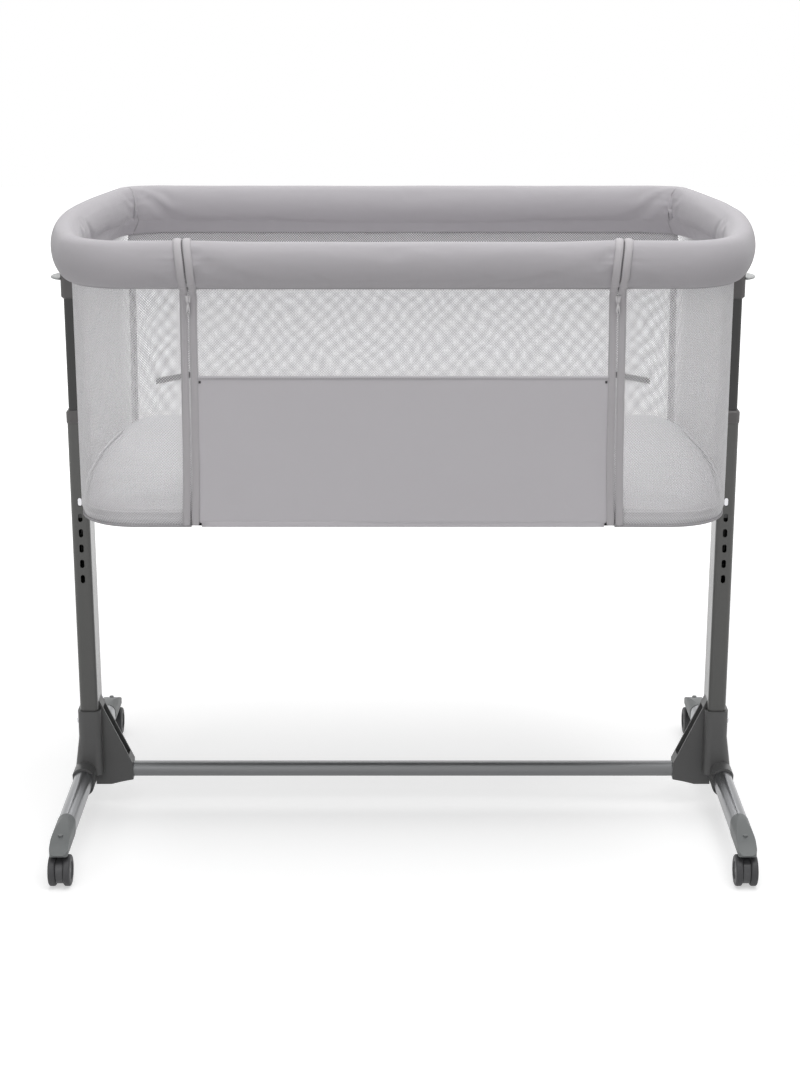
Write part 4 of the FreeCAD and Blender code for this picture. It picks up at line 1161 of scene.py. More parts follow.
# ------------------------------------------------------------------ padded rim
@dataclass
class PaddedRim:
    """The four sewn lengths of padding around the rim."""

    start_smaller: float = 0.0002
    segments: int = 48
    pitch: float = 0.0062
    seam_gap: float = 0.0004
    seam_rows: tuple[float, ...] = (0.0006, 0.0022)
    sewn_width: float = 0.004
    cinch: float = 0.0050
    cinch_run: float = 0.0085
    cinch_turn: float = 0.35
    pucker: float = 0.0011
    pucker_run: float = 0.017
    pucker_start: float = 0.003
    puckers: int = 15
    drift: float = 0.0005
    filling: Filling = field(default_factory=Filling)

    def section(self, grow: float) -> tuple[list[tuple[float, float]], float]:
        """The four-arc oval, spaced evenly.

        Args:
            grow: How much larger than the solid's section.

        Returns:
            Its points, from the outer flank upwards, and its length around.
        """
        half_width = SIZES.pad_width / 2 + grow
        tip = SIZES.pad_tip + grow
        rise = SIZES.pad_height / 2 + grow - tip
        flank = (half_width ** 2 - tip ** 2 + rise ** 2) / (2 * (half_width - tip))
        lean = math.atan2(rise, flank - half_width)
        shift = half_width - flank
        arcs = [(shift, 0.0, flank, 0.0, lean), (0.0, rise, tip, lean, math.pi - lean),
                (-shift, 0.0, flank, math.pi - lean, math.pi + lean),
                (0.0, -rise, tip, math.pi + lean, 2 * math.pi - lean),
                (shift, 0.0, flank, 2 * math.pi - lean, 2 * math.pi)]
        lengths = [radius * (last - first) for _, _, radius, first, last in arcs]
        wrap = sum(lengths)
        points = []
        for index in range(self.segments):
            distance = wrap * index / self.segments
            for (x, y, radius, first, last), length in zip(arcs, lengths):
                if distance <= length:
                    turn = first + (last - first) * distance / length
                    points.append((x + radius * math.cos(turn), y + radius * math.sin(turn)))
                    break
                distance -= length
        return points, wrap

    def build_length(self, name: str, course: Course, body: Body, node: str, mirrored: bool = False) -> None:
        """Makes one sewn length of padding.

        Args:
            name: The piece's name.
            course: Its centre line, for the right-hand end.
            body: What it rides on.
            node: The solid that it stands for.
            mirrored: Whether it is the left-hand one.
        """
        form = Form()
        points, wrap = self.section(-self.start_smaller)
        length = course.length
        steps = max(8, round(length / self.pitch))
        distances = [length * index / steps for index in range(steps + 1)]
        distances[1:1] = self.seam_rows
        distances[-1:-1] = [length - row for row in reversed(self.seam_rows)]
        stations = []
        for distance in distances:
            point, outward = course.at(distance)
            stations.append(stand(point + UP * SIZES.rim_z, outward, UP))
        form.carry(form.ring(points, wrap), stations, distances)
        form.mesh.verts.index_update()
        ends_of = {vertex.index: min(vertex[form.along], length - vertex[form.along])
                   for vertex in form.mesh.verts}
        around_of = {vertex.index: vertex[form.around] for vertex in form.mesh.verts}
        lowest = wrap * 0.75

        def held(vertex: bpy.types.MeshVertex) -> float:
            """How firmly a vertex is sewn down: at the two seams and along the underside."""
            from_seam = min(ends_of[vertex.index], abs(around_of[vertex.index] - lowest))
            return 1.0 if from_seam < self.sewn_width else 0.0

        piece = form.piece(name, Finishes.RIM, wrap, mirrored=mirrored)
        self.filling.swell(piece, held)
        self.pucker_ends(piece, ends_of, around_of, wrap)
        soften(piece)
        place_piece(piece, body)
        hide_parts(node)

    def pucker_ends(self, piece: bpy.types.Object, ends_of: dict[int, float], around_of: dict[int, float],
                    wrap: float) -> None:
        """Gathers the cover into small folds at its two seams and draws its underside in there.

        Args:
            piece: The padding.
            ends_of: Each vertex's distance from the nearer seam.
            around_of: Each vertex's distance around.
            wrap: Length around.
        """
        for vertex in piece.data.vertices:
            ends = ends_of[vertex.index]
            turn = 2 * math.pi * around_of[vertex.index] / wrap
            fade = math.exp(-ends / self.pucker_run) * min(1.0, ends / self.pucker_start)
            crease = math.exp(-(ends / self.cinch_run) ** 2) * max(0.0, -math.cos(turn - self.cinch_turn))
            wave = math.sin(self.puckers * turn + 1.7 * math.sin(3 * turn)) * (0.6 + 0.4 * math.sin(5 * turn))
            drift = self.drift * noise.noise(vertex.co * 14.0)
            vertex.co += vertex.normal * (self.pucker * fade * wave + drift - self.cinch * crease)

    def build(self) -> None:
        """Makes all four lengths."""
        rim, gap = SIZES.rim, self.seam_gap
        end_run = Course(rim.round_end(SIZES.zip_x + gap, SIZES.rim_seam))
        for end in End:
            self.build_length(f"rim_cover_{end.word}", end_run, Body.CRADLE, f"rim_pad_{end.word}",
                              end.mirrored)
        rear_run = Course(rim.along_rear(SIZES.rim_seam))
        self.build_length("rim_cover_rear", rear_run, Body.CRADLE, "rim_pad_rear")
        front_run = Course(rim.along_front(SIZES.zip_x - gap))
        self.build_length("rim_cover_front", front_run, Body.DROP_SIDE, "front_rim_pad")


# ------------------------------------------------------------------ fabric basket
@dataclass
class Walls:
    """Net walls of the cradle, with the bands of cloth sewn along their edges.

    Each band is given by its free edge and how far it stands off the wall. On the rear wall a grey band
    behind the net,
    under the rim, is painted shade: it darkens the net where the rim's shade falls. The skirt runs on from
    the rim padding's inner flank, and skirt_flank holds the heights and insets of its upper edge and of its
    turn.
    """

    cell: float = 0.011
    net_top: float = 0.806
    net_lift: float = -0.001
    slack: float = 0.0008
    band_cell: float = 0.0045
    band_wave: float = 0.0007
    band_thickness: float = 0.0011
    band_top: float = 0.803
    binding_bottom: float = 0.7975
    binding_lift: float = 0.0010
    # Painted shade band behind the rear net under the rim: its lower edge and how far it stands off the net.
    backing_bottom: float = 0.7725
    backing_lift: float = 0.0004
    hem_top: float = 0.4995
    hem_lift: float = -0.0030
    skirt_top: float = 0.7985
    skirt_bottom: float = 0.7885
    skirt_flank: tuple[tuple[float, float], ...] = ((0.8140, 0.0132), (0.8065, 0.0121))
    skirt_tuck: float = 0.0024
    skirt_fade: float = 0.10
    skirt_wave: float = 0.0004
    skirt_cell: float = 0.006
    skirt_rows: int = 8
    skirt_thickness: float = 0.0008

    def wall_shape(self, run: Run, low: float, lift: float, wave: float) -> Shape:
        """Bends a flat cut onto the basket's wall.

        Args:
            run: The run of the wall on a plan.
            low: Height of the cut's lower edge.
            lift: How far it stands off the wall.
            wave: Height of its ripples.

        Returns:
            The place of a point of the cut.
        """
        middle = Course(run(SIZES.measured_wall))

        def shape(across: float, along: float) -> Vector:
            """Place of a point of the cut."""
            z = low + along
            index, share = middle.locate(across)
            point, outward = run(SIZES.wall(z))[index].at(share)
            stir = ripple(wave, across, 260, 43, min(1, along / RIPPLE_RUN))
            tension = self.slack * noise.noise(Vector((across * 22, 3.1, z * 4))) * min(1.0, (z - low) / 0.05)
            return point + outward * (lift + stir + tension) + UP * z
        return shape

    def cut(self, name: str, run: Run, low: float, high: float, finish: Finish, mirrored: bool, lift: float,
            wave: float, cell: float) -> bpy.types.Object:
        """Cuts one piece of the wall.

        Args:
            name: The piece's name.
            run: The run of the wall on a plan.
            low: Lower edge.
            high: Upper edge.
            finish: Its finish.
            mirrored: Whether it is the left-hand one.
            lift: How far it stands off the wall.
            wave: Height of its ripples.
            cell: Size of its mesh cells.

        Returns:
            The piece.
        """
        width = Course(run(SIZES.measured_wall)).length
        cells = max(2, round(width / cell)), max(2, round((high - low) / cell))
        return cut_cloth(name, finish, cells, (width, high - low), self.wall_shape(run, low, lift, wave),
                         mirrored)

    def build_net(self, name: str, run: Run, node: str, mirrored: bool = False) -> None:
        """Makes a net wall with its skirt, binding and hem, and on the rear wall a grey band of painted shade
        under the rim.

        Args:
            name: The piece's name.
            run: The run of the wall on a plan.
            node: The solid that it stands for.
            mirrored: Whether it is the left-hand one.
        """
        low = SIZES.basket_bottom + 0.001
        rear = node == "rear_wall"
        knit = Finishes.REAR_NET if rear else Finishes.NET
        net = self.cut(name, run, low, self.net_top, knit, mirrored, self.net_lift, 0.0, self.cell)
        place_piece(net, Body.CRADLE)
        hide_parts(node)
        bands = [("binding", self.binding_bottom, self.band_top, self.binding_lift, Finishes.RIM),
                 ("hem", low, self.hem_top, self.hem_lift, Finishes.MATTRESS)]
        # The rear wall gets a grey band of painted shade behind its net, under the rim.
        if rear:
            bands.append(("backing", self.backing_bottom, self.band_top, self.backing_lift, Finishes.BACKING))
        made = [self.build_skirt(f"{name}_skirt", run, mirrored)]
        for band, bottom, top, lift, finish in bands:
            piece = self.cut(f"{name}_{band}", run, bottom, top, finish, mirrored, lift, self.band_wave,
                             self.band_cell)
            thicken(piece, self.band_thickness)
            soften(piece)
            made.append(place_piece(piece, Body.CRADLE))
        width = Course(run(SIZES.measured_wall)).length

    def build_skirt(self, name: str, run: Run, mirrored: bool) -> bpy.types.Object:
        """Makes the inner skirt: the rim's cover running on from its inner flank down to the net.

        Args:
            name: The piece's name.
            run: The run of the wall on a plan.
            mirrored: Whether it is the left-hand one.

        Returns:
            The skirt.
        """
        (high, high_inset), (turn, turn_inset) = self.skirt_flank
        above, below = run(SIZES.rim), run(SIZES.wall(self.skirt_bottom))
        middle = Course(above)
        height = high - self.skirt_bottom

        def shape(across: float, along: float) -> Vector:
            """Place of a point of the skirt: it is drawn up out of sight towards the front."""
            index, share = middle.locate(across)
            top, outward = above[index].at(share)
            foot = below[index].at(share)[0] - outward * self.skirt_tuck
            back = min(1.0, max(0.0, (top.y + self.skirt_fade) / (2 * self.skirt_fade)))
            low = self.skirt_top + (self.skirt_bottom - self.skirt_top) * back
            z = low + (high - low) * along / height
            if z >= turn:
                rise = (z - turn) / (high - turn)
                return top - outward * (turn_inset + (high_inset - turn_inset) * rise) + UP * z
            hang = (z - self.skirt_bottom) / (turn - self.skirt_bottom)
            stir = ripple(self.skirt_wave, across, 190, 31, hang)
            return foot.lerp(top - outward * turn_inset, hang) + outward * stir + UP * z

        cells = round(middle.length / self.skirt_cell), self.skirt_rows
        skirt = cut_cloth(name, Finishes.RIM, cells, (middle.length, height), shape, mirrored)
        thicken(skirt, self.skirt_thickness)
        soften(skirt)
        return place_piece(skirt, Body.CRADLE)

    def build(self) -> None:
        """Makes the two end walls and the rear wall."""
        for end in End:
            self.build_net(f"end_net_{end.word}", lambda plan: plan.round_end(SIZES.zip_edge, SIZES.seam),
                           f"end_wall_{end.word}", end.mirrored)
        self.build_net("rear_net", lambda plan: plan.along_rear(SIZES.seam), "rear_wall")


@dataclass
class HemPiping:
    """Piping around the basket's bottom edge."""

    radius: float = 0.0017
    lift: float = 0.0006
    steps: int = 90

    def build(self) -> None:
        """Makes the piping of both ends and the rear."""
        z = SIZES.basket_bottom + self.lift
        plan = SIZES.wall(z)
        around = plan.round_end(SIZES.zip_edge, 90.0)
        rear = plan.along_rear(90.0)[1:2]
        for word, legs in (("left", around), ("right", around), ("rear", rear)):
            piping = tube(f"hem_piping_{word}", Course(legs).sample(self.steps), z, self.radius, Finishes.HEM,
                          word == End.LEFT.word)
            place_piece(piping, Body.CRADLE)


@dataclass
class CornerTapes:
    """Binding tapes down the rear corner seams."""

    low: float = SIZES.basket_bottom + 0.016
    high: float = 0.805
    width: float = 0.0120
    lift: float = 0.0006
    crown: float = 0.0011
    thickness: float = 0.0009

    def build(self) -> None:
        """Makes both tapes."""
        turn = math.radians(SIZES.seam)
        out = Vector((math.cos(turn), math.sin(turn), 0.0))
        side = Vector((-out.y, out.x, 0.0))

        def shape(across: float, along: float) -> Vector:
            """Place of a point of the tape."""
            plan = SIZES.wall(self.low + along)
            x, y = plan.corner
            crown = self.crown * math.cos((across / self.width - 0.5) * math.pi)
            foot = Vector((x, y, self.low + along)) + out * (plan.corner_radius + self.lift + crown)
            return foot + side * (across - self.width / 2)

        for end in End:
            tape = cut_cloth(f"corner_tape_{end.word}", Finishes.BINDING, (6, 60),
                             (self.width, self.high - self.low), shape, end.mirrored)
            thicken(tape, self.thickness)
            place_piece(tape, Body.CRADLE)


@dataclass
class RearStraps:
    """Two webbing straps on the rear wall, which follow its corners."""

    start: float = 0.312
    finish: float = 0.367
    low: float = 0.565
    rise: float = 0.0095
    width: float = 0.0090
    inset: float = 0.0034
    sag: float = 0.0004
    thickness: float = 0.0013

    def shape(self, across: float, along: float) -> Vector:
        """Bends the right-hand strap onto the wall.

        Args:
            across: Distance across the webbing.
            along: Distance along it.

        Returns:
            The place of the point.
        """
        x = self.start + along
        z = self.low + self.rise * (1 - along / (self.finish - self.start)) + across
        sag = self.sag * math.sin(along * 90)
        plan = SIZES.wall(z)
        corner_x, corner_y = plan.corner
        reach = plan.corner_radius - self.inset
        back = corner_y + math.sqrt(reach ** 2 - max(0.0, x - corner_x) ** 2)
        return Vector((x, back + sag, z))

    def build(self) -> None:
        """Makes both straps."""
        for end in End:
            strap = cut_cloth(f"rear_strap_{end.word}", Finishes.STRAP, (5, 24),
                              (self.width, self.finish - self.start), self.shape, end.mirrored)
            thicken(strap, self.thickness)
            soften(strap)
            place_piece(strap, Body.CRADLE)
            if end is End.RIGHT:
                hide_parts("rear_straps")


@dataclass
class Mattress:
    """The crowned mattress and the piping along its edges."""

    plan: Plan = Plan(0.4272, 0.2460, 0.068, 1.330)
    bottom: float = 0.4972
    top: float = 0.5205
    fall: float = 0.0130
    fall_run: float = 0.040
    unevenness: float = 0.0006
    sewn_height: float = 0.001
    piping_radius: float = 0.0017
    piping_steps: int = 120
    filling: Filling = field(default_factory=lambda: Filling(pressure=3.0, growth=0.01, limit=0.006))

    def shape(self, across: float, along: float) -> Vector:
        """Spreads the cut over the plan.

        Args:
            across: Share of the way along the crib.
            along: Share of the way from front to rear.

        Returns:
            The place of the point, at the mattress's bottom.
        """
        y = math.sin((along - 0.5) * math.pi) * self.plan.half_depth
        x = (across - 0.5) * 2 * self.plan.half_length_at(y)
        return Vector((x, y, self.bottom))

    def raised(self) -> Form:
        """The flat-topped block, three cells high, with the cloth's measure written on it."""
        form = Form()
        form.grid(64, 40, 1.0, 1.0, self.shape)
        made = bmesh.ops.extrude_face_region(form.mesh, geom=list(form.mesh.faces))["geom"]
        bmesh.ops.translate(form.mesh, vec=(0.0, 0.0, self.top - self.bottom), verts=vertices_of(made))
        uprights = [edge for edge in form.mesh.edges if abs(edge.verts[0].co.z - edge.verts[1].co.z) > 0.01]
        bmesh.ops.subdivide_edges(form.mesh, edges=uprights, cuts=2, use_grid_fill=True)
        for vertex in form.mesh.verts:
            vertex[form.around] = vertex.co.x + vertex.co.z * 0.3
            vertex[form.along] = vertex.co.y + vertex.co.z
        return form

    def crown(self, mattress: bpy.types.Object) -> None:
        """Lets the upper face fall towards its edge.

        Args:
            mattress: The filled block.
        """
        plan = self.plan
        for vertex in mattress.data.vertices:
            if vertex.co.z > self.bottom + self.sewn_height:
                edge = min(plan.half_length_at(vertex.co.y) - abs(vertex.co.x),
                           plan.half_depth - abs(vertex.co.y))
                rise = (vertex.co.z - self.bottom) / (self.top - self.bottom)
                vertex.co.z -= self.fall * rise * (1 - min(1.0, max(0.0, edge) / self.fall_run)) ** 2
                vertex.co.z += self.unevenness * rise * noise.noise(vertex.co * 26.0)

    def build(self) -> None:
        """Makes the mattress and its piping."""
        mattress = self.raised().piece("mattress_cushion", Finishes.MATTRESS)
        seam = self.bottom + self.sewn_height
        self.filling.swell(mattress, lambda vertex: 1.0 if vertex.co.z < seam else 0.0)
        self.crown(mattress)
        soften(mattress)
        place_piece(mattress, Body.CRADLE)
        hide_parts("mattress")
        places = Course(self.plan.round_end(0.0, 90.0)).sample(self.piping_steps)
        places.append((Vector((0.0, self.plan.half_depth, 0.0)), Vector((0.0, 1.0, 0.0))))
        levels = (("top", self.top - self.fall - 0.0002), ("bottom", self.bottom + 0.0012))
        for end in End:
            for level, height in levels:
                piping = tube(f"mattress_piping_{level}_{end.word}", places, height, self.piping_radius,
                              Finishes.MATTRESS, end.mirrored)
                place_piece(piping, Body.CRADLE)


@dataclass
class BasketFloor:
    """The dark fabric under the basket."""

    lift: float = 0.0002
    side_inset: float = 0.0022
    round_inset: float = 0.002
    unevenness: float = 0.0006
    thickness: float = 0.0009

    def build(self) -> None:
        """Makes the floor."""
        z = SIZES.basket_bottom + self.lift
        plan = Plan(SIZES.wall_half_length - SIZES.hem_inset, SIZES.wall_half_bottom - self.side_inset,
                    SIZES.wall_corner - self.round_inset, SIZES.wall_end - self.round_inset)
        width, length = 2 * plan.half_length, 2 * plan.half_depth

        def shape(across: float, along: float) -> Vector:
            """Place of a point of the floor's cut."""
            y = math.sin((along / length - 0.5) * math.pi) * plan.half_depth
            x = (across / width - 0.5) * 2 * plan.half_length_at(y)
            return Vector((x, y, z + self.unevenness * noise.noise(Vector((x * 9, y * 9, 0.4)))))

        floor = cut_cloth("basket_floor", Finishes.FLOOR, (70, 44), (width, length), shape)
        for vertex in floor.data.vertices:
            vertex.co.z = max(vertex.co.z, SIZES.basket_bottom - self.lift)
        thicken(floor, self.thickness, 1.0)
        place_piece(floor, Body.CRADLE)
        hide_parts("floor_cover")


# ------------------------------------------------------------------ drop side
@dataclass
class DropSide:
    """Net window, lower panel and trim of the side that drops."""

    window_top: float = 0.806
    window_overlap: float = 0.006
    window_lift: float = -0.0008
    binding_bottom: float = 0.7970
    binding_top: float = 0.803
    binding_wave: float = 0.0005
    edge_x: float = 0.2600
    cell: float = 0.010
    slack: float = 0.0009
    trim_lift: float = 0.0010
    trim_thickness: float = 0.0011
    panel_lift: float = 0.0002
    panel_thickness: float = 0.0016
    hem_drop: float = 0.0035
    hem_rise: float = 0.0004
    tack_x: float = 0.2525
    tack_z: float = 0.6785
    tack_pitch: float = 0.0008
    tacks: int = 4

    def front_shape(self, low: float, left: float, lift: float, wave: float) -> Shape:
        """Bends a flat cut onto the sloping front.

        Args:
            low: Height of its lower edge.
            left: Where its left edge is.
            lift: How far it stands off the front.
            wave: Height of its ripples.

        Returns:
            The place of a point of the cut.
        """
        def shape(across: float, along: float) -> Vector:
            """Place of a point of the cut."""
            z = low + along
            x = left + across
            stir = ripple(wave, x, 250, 37, min(1, along / RIPPLE_RUN))
            tension = self.slack * noise.noise(Vector((x * 7, 8.3, z * 9)))
            return Vector((x, -SIZES.half_depth(z) - lift - stir - tension, z))
        return shape

    def cut(self, name: str, low: float, high: float, finish: Finish, lift: float, wave: float = 0.0,
            cell: Optional[float] = None) -> bpy.types.Object:
        """Cuts one flat piece of the side.

        Args:
            name: The piece's name.
            low: Lower edge.
            high: Upper edge.
            finish: Its finish.
            lift: How far it stands off the front.
            wave: Height of its ripples.
            cell: Size of its mesh cells.

        Returns:
            The piece.
        """
        cell = cell or self.cell
        width, height = 2 * self.edge_x, high - low
        form = Form()
        form.grid(round(width / cell), max(2, round(height / cell)), width, height,
                  self.front_shape(low, -self.edge_x, lift, wave))
        return form.piece(name, finish)

    def build(self) -> None:
        """Makes the window, the panel, their trim, the hinge strip and the stitches."""
        self.build_window()
        self.build_panel()
        self.build_hinge_strip()
        self.build_stitches()

    def build_window(self) -> None:
        """Makes the net window and the binding that joins it to the rim."""
        low = SIZES.panel_top - self.window_overlap
        window = self.cut("window_net", low, self.window_top, Finishes.NET, self.window_lift)
        place_piece(window, Body.DROP_SIDE)
        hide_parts("window_mesh")
        binding = self.cut("window_binding", self.binding_bottom, self.binding_top, Finishes.RIM,
                           self.trim_lift, self.binding_wave, 0.0045)
        thicken(binding, self.trim_thickness)
        soften(binding)
        place_piece(binding, Body.DROP_SIDE)

    def build_panel(self) -> None:
        """Makes the lower panel and its top hem."""
        low = SIZES.basket_bottom + SIZES.hinge_gap
        panel = self.cut("front_panel_cloth", low, SIZES.panel_top, Finishes.PANEL, self.panel_lift)
        thicken(panel, self.panel_thickness)
        soften(panel)
        place_piece(panel, Body.DROP_SIDE)
        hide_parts("front_panel")
        hem = self.cut("panel_top_hem", SIZES.panel_top - self.hem_drop, SIZES.panel_top + self.hem_rise,
                       Finishes.PANEL, self.trim_lift, cell=0.0016)
        thicken(hem, self.trim_thickness)
        place_piece(hem, Body.DROP_SIDE)

    def build_hinge_strip(self) -> None:
        """Makes the fabric that bends between the floor and the panel."""
        radius, reach, offset = 0.0012, 0.006, 0.0004
        width = 2 * (self.edge_x - 0.004)
        height = 2 * reach + radius * math.pi / 2
        axis_y, axis_z = -SIZES.wall_half_bottom + offset, SIZES.basket_bottom + offset

        def shape(across: float, along: float) -> Vector:
            """Place of a point of the strip."""
            x = across - width / 2
            if along < reach:
                return Vector((x, axis_y + reach - along, axis_z - radius))
            if along > height - reach:
                return Vector((x, axis_y - radius, axis_z + along - (height - reach)))
            turn = (along - reach) / radius
            return Vector((x, axis_y - radius * math.sin(turn), axis_z - radius * math.cos(turn)))

        strip = cut_cloth("hinge_strip", Finishes.PANEL, (48, 14), (width, height), shape)
        thicken(strip, 0.0007)
        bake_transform(strip)
        LOG.info("hinge_strip across the hinge")

    def build_stitches(self) -> None:
        """Sews the panel's top hem and sets the bartacks at its corners."""
        z = SIZES.panel_top - 0.0026
        form = Form()
        for index in range(round(2 * self.edge_x / STITCH_PITCH)):
            x = -self.edge_x + STITCH_PITCH * (index + 0.5)
            form.stitch(Vector((x, -SIZES.half_depth(z) - 0.0018, z)), 0.0003, 0.0012)
        place_piece(form.piece("panel_stitches", Finishes.STITCH), Body.DROP_SIDE)
        form = Form()
        for end in End:
            for index in range(self.tacks):
                z = self.tack_z + self.tack_pitch * index
                centre = Vector((end.value * self.tack_x, -SIZES.half_depth(z) - 0.0014, z))
                form.stitch(centre, 0.0005, 0.0017)
        place_piece(form.piece("panel_bartacks", Finishes.DARK_STITCH), Body.DROP_SIDE)


# ------------------------------------------------------------------ zips
@dataclass
class Zips:
    """The two zips beside the drop side: flaps, coils, sliders and end tacks."""

    flap_width: float = 0.0098
    flap_thickness: float = 0.0021
    flap_sides: int = 18
    half_gap: float = 0.0008
    station_pitch: float = 0.0036
    tooth_pitch: float = 0.0015
    rim_lift: float = 0.0011
    first_z: float = 0.4915
    knot_pitch: float = 0.02
    knots: int = 15
    rim_from: float = -56.0
    rim_to: float = 112.0
    pucker_z: float = 0.7985
    pucker_y: float = -0.2845
    pucker_run: float = 0.011
    slider_z: float = 0.785
    pull_length: float = 0.017
    tack_z: float = 0.7665
    tack_pitch: float = 0.0009
    tacks: int = 4

    def profile(self) -> list[Vector]:
        """The zip's run in the upright plane: up the front, then over the rim.

        Returns:
            Points with y and z, from the hem to the inner top of the rim.
        """
        heights = [self.first_z + self.knot_pitch * step for step in range(self.knots)]
        run = [Vector((0.0, -SIZES.half_depth(z) - 0.0008, z)) for z in heights]
        run.append(Vector((0.0, -SIZES.half_depth(0.787) - 0.0010, 0.787)))
        run.append(Vector((0.0, -0.2705, 0.7960)))
        points, _ = PaddedRim().section(self.rim_lift)
        for angle, x, y in sorted((math.degrees(math.atan2(y, x)), x, y) for x, y in points):
            if self.rim_from <= angle <= self.rim_to:
                run.append(Vector((0.0, -SIZES.rim.half_depth - x, SIZES.rim_z + y)))
        return self.even(run, self.station_pitch)

    @staticmethod
    def frames(run: Sequence[Vector]) -> list[tuple[Vector, Vector, Vector]]:
        """Directions along a run.

        Args:
            run: Its points.

        Returns:
            Each point with the directions along the run and out of the surface.
        """
        rows = []
        for index, point in enumerate(run):
            before, after = run[max(0, index - 1)], run[min(len(run) - 1, index + 1)]
            tangent = (after - before).normalized()
            rows.append((point, tangent, CRIBWAYS.cross(tangent)))
        return rows

    @staticmethod
    def even(points: Sequence[Vector], pitch: float) -> list[Vector]:
        """Spaces a row of points evenly and rounds it off.

        Args:
            points: The row.
            pitch: The new spacing.

        Returns:
            The new row.
        """
        lengths = [0.0]
        for before, after in zip(points, points[1:]):
            lengths.append(lengths[-1] + (after - before).length)
        count = max(2, round(lengths[-1] / pitch))
        row, index = [], 0
        for step in range(count + 1):
            distance = lengths[-1] * step / count
            while index < len(points) - 2 and lengths[index + 1] < distance:
                index += 1
            share = (distance - lengths[index]) / (lengths[index + 1] - lengths[index])
            row.append(points[index].lerp(points[index + 1], min(1.0, share)))
        for _ in range(2):
            row = [row[0]] + [(a + b * 2 + c) / 4 for a, b, c in zip(row, row[1:], row[2:])] + [row[-1]]
        return row

    def crumple(self, point: Vector, half: Half) -> tuple[float, float]:
        """How the flap puckers where it turns under the rim.

        Args:
            point: A point of the run.
            half: Which half of the zip.

        Returns:
            The lift off the surface and the shift along the crib.
        """
        near = 0.0
        if point.y > self.pucker_y:
            near = math.exp(-((point.z - self.pucker_z) / self.pucker_run) ** 2)
        wave = math.sin(point.z * 900 + half.value * 1.3)
        return 0.0014 * near * wave + 0.0004 * near, 0.0007 * near * math.sin(point.z * 620 + half.value)

    def stations(self, half: Half) -> tuple[list[Matrix], list[float]]:
        """Places of the flap's section.

        Args:
            half: Which half of the zip.

        Returns:
            The places and the lengths along the flap.
        """
        run = self.profile()
        places, distances, total = [], [], 0.0
        for index, (point, _, out) in enumerate(self.frames(run)):
            if index:
                total += (point - run[index - 1]).length
            lift, shift = self.crumple(point, half)
            middle = SIZES.zip_line(point.z) + half.value * (self.half_gap + self.flap_width / 2) + shift
            centre = Vector((middle, point.y, point.z)) + out * lift
            places.append(stand(centre, CRIBWAYS, out))
            distances.append(total)
        return places, distances

    def flap(self, end: End, half: Half) -> bpy.types.Object:
        """Makes the flap of one half of a zip.

        Args:
            end: Which zip.
            half: Which half of it.

        Returns:
            The flap.
        """
        form = Form()
        points = []
        for index in range(self.flap_sides):
            turn = 2 * math.pi * index / self.flap_sides
            x, y = math.cos(turn), math.sin(turn)
            x = math.copysign(abs(x) ** 0.8, x)
            y = y if y > 0 else y * 0.4
            points.append((x * self.flap_width / 2, y * self.flap_thickness))
        wrap = 2.2 * self.flap_width
        places, distances = self.stations(half)
        form.carry(form.ring(points, wrap), places, distances)
        name = f"zip_flap_{half.word}_{end.word}"
        piece = form.piece(name, Finishes.FLAP, wrap, mirrored=end.mirrored)
        soften(piece)
        return place_piece(piece, half.body)

    def coil(self, end: End, half: Half) -> None:
        """Makes the teeth of one half of a zip.

        Args:
            end: Which zip.
            half: Which half of it.
        """
        form = Form()
        run = self.even(self.profile(), self.tooth_pitch * 2)
        for point, tangent, out in self.frames(run)[1:-1]:
            shift = tangent * (self.tooth_pitch * 0.5 * half.value)
            x = SIZES.zip_line(point.z) + half.value * 0.0007
            centre = Vector((x, point.y, point.z)) + shift + out * -0.0002
            form.bead(centre, (out * 0.0007, tangent * 0.0006, CRIBWAYS * 0.0016))
        name = f"zip_coil_{half.word}_{end.word}"
        place_piece(form.piece(name, Finishes.COIL, mirrored=end.mirrored), half.body)

    def stitches(self, end: End, half: Half) -> None:
        """Sews the outer edge of a flap.

        Args:
            end: Which zip.
            half: Which half of it.
        """
        form = Form()
        run = self.even(self.profile(), STITCH_PITCH)
        for point, tangent, out in self.frames(run)[1:-1]:
            lift, shift = self.crumple(point, half)
            x = SIZES.zip_line(point.z) + half.value * (self.half_gap + self.flap_width * 0.84) + shift
            centre = Vector((x, point.y, point.z)) + out * (self.flap_thickness * 0.62 + lift)
            form.bead(centre, (out * 0.0003, CRIBWAYS * 0.0003, tangent * 0.0012))
        name = f"zip_stitches_{half.word}_{end.word}"
        place_piece(form.piece(name, Finishes.STITCH, mirrored=end.mirrored), half.body)

    @staticmethod
    def block(form: Form, centre: Sequence[float], size: Sequence[float], foot: float, edge: float,
              segments: int) -> None:
        """Adds a block with rounded edges.

        Args:
            form: The form that it joins.
            centre: Its middle.
            size: Its three sizes.
            foot: Width of its lower end, as a share of the upper.
            edge: Radius of its edges.
            segments: Facets of an edge's round.
        """
        made = bmesh.ops.create_cube(form.mesh, size=1.0)["verts"]
        fresh = set(made)
        bmesh.ops.scale(form.mesh, vec=size, verts=made)
        for vertex in made:
            if vertex.co.z < 0:
                vertex.co.x *= foot
        bmesh.ops.translate(form.mesh, vec=centre, verts=made)
        edges = [line for line in form.mesh.edges if line.verts[0] in fresh]
        bmesh.ops.bevel(form.mesh, geom=edges, offset=edge, segments=segments, affect="EDGES", profile=0.5,
                        material=-1)

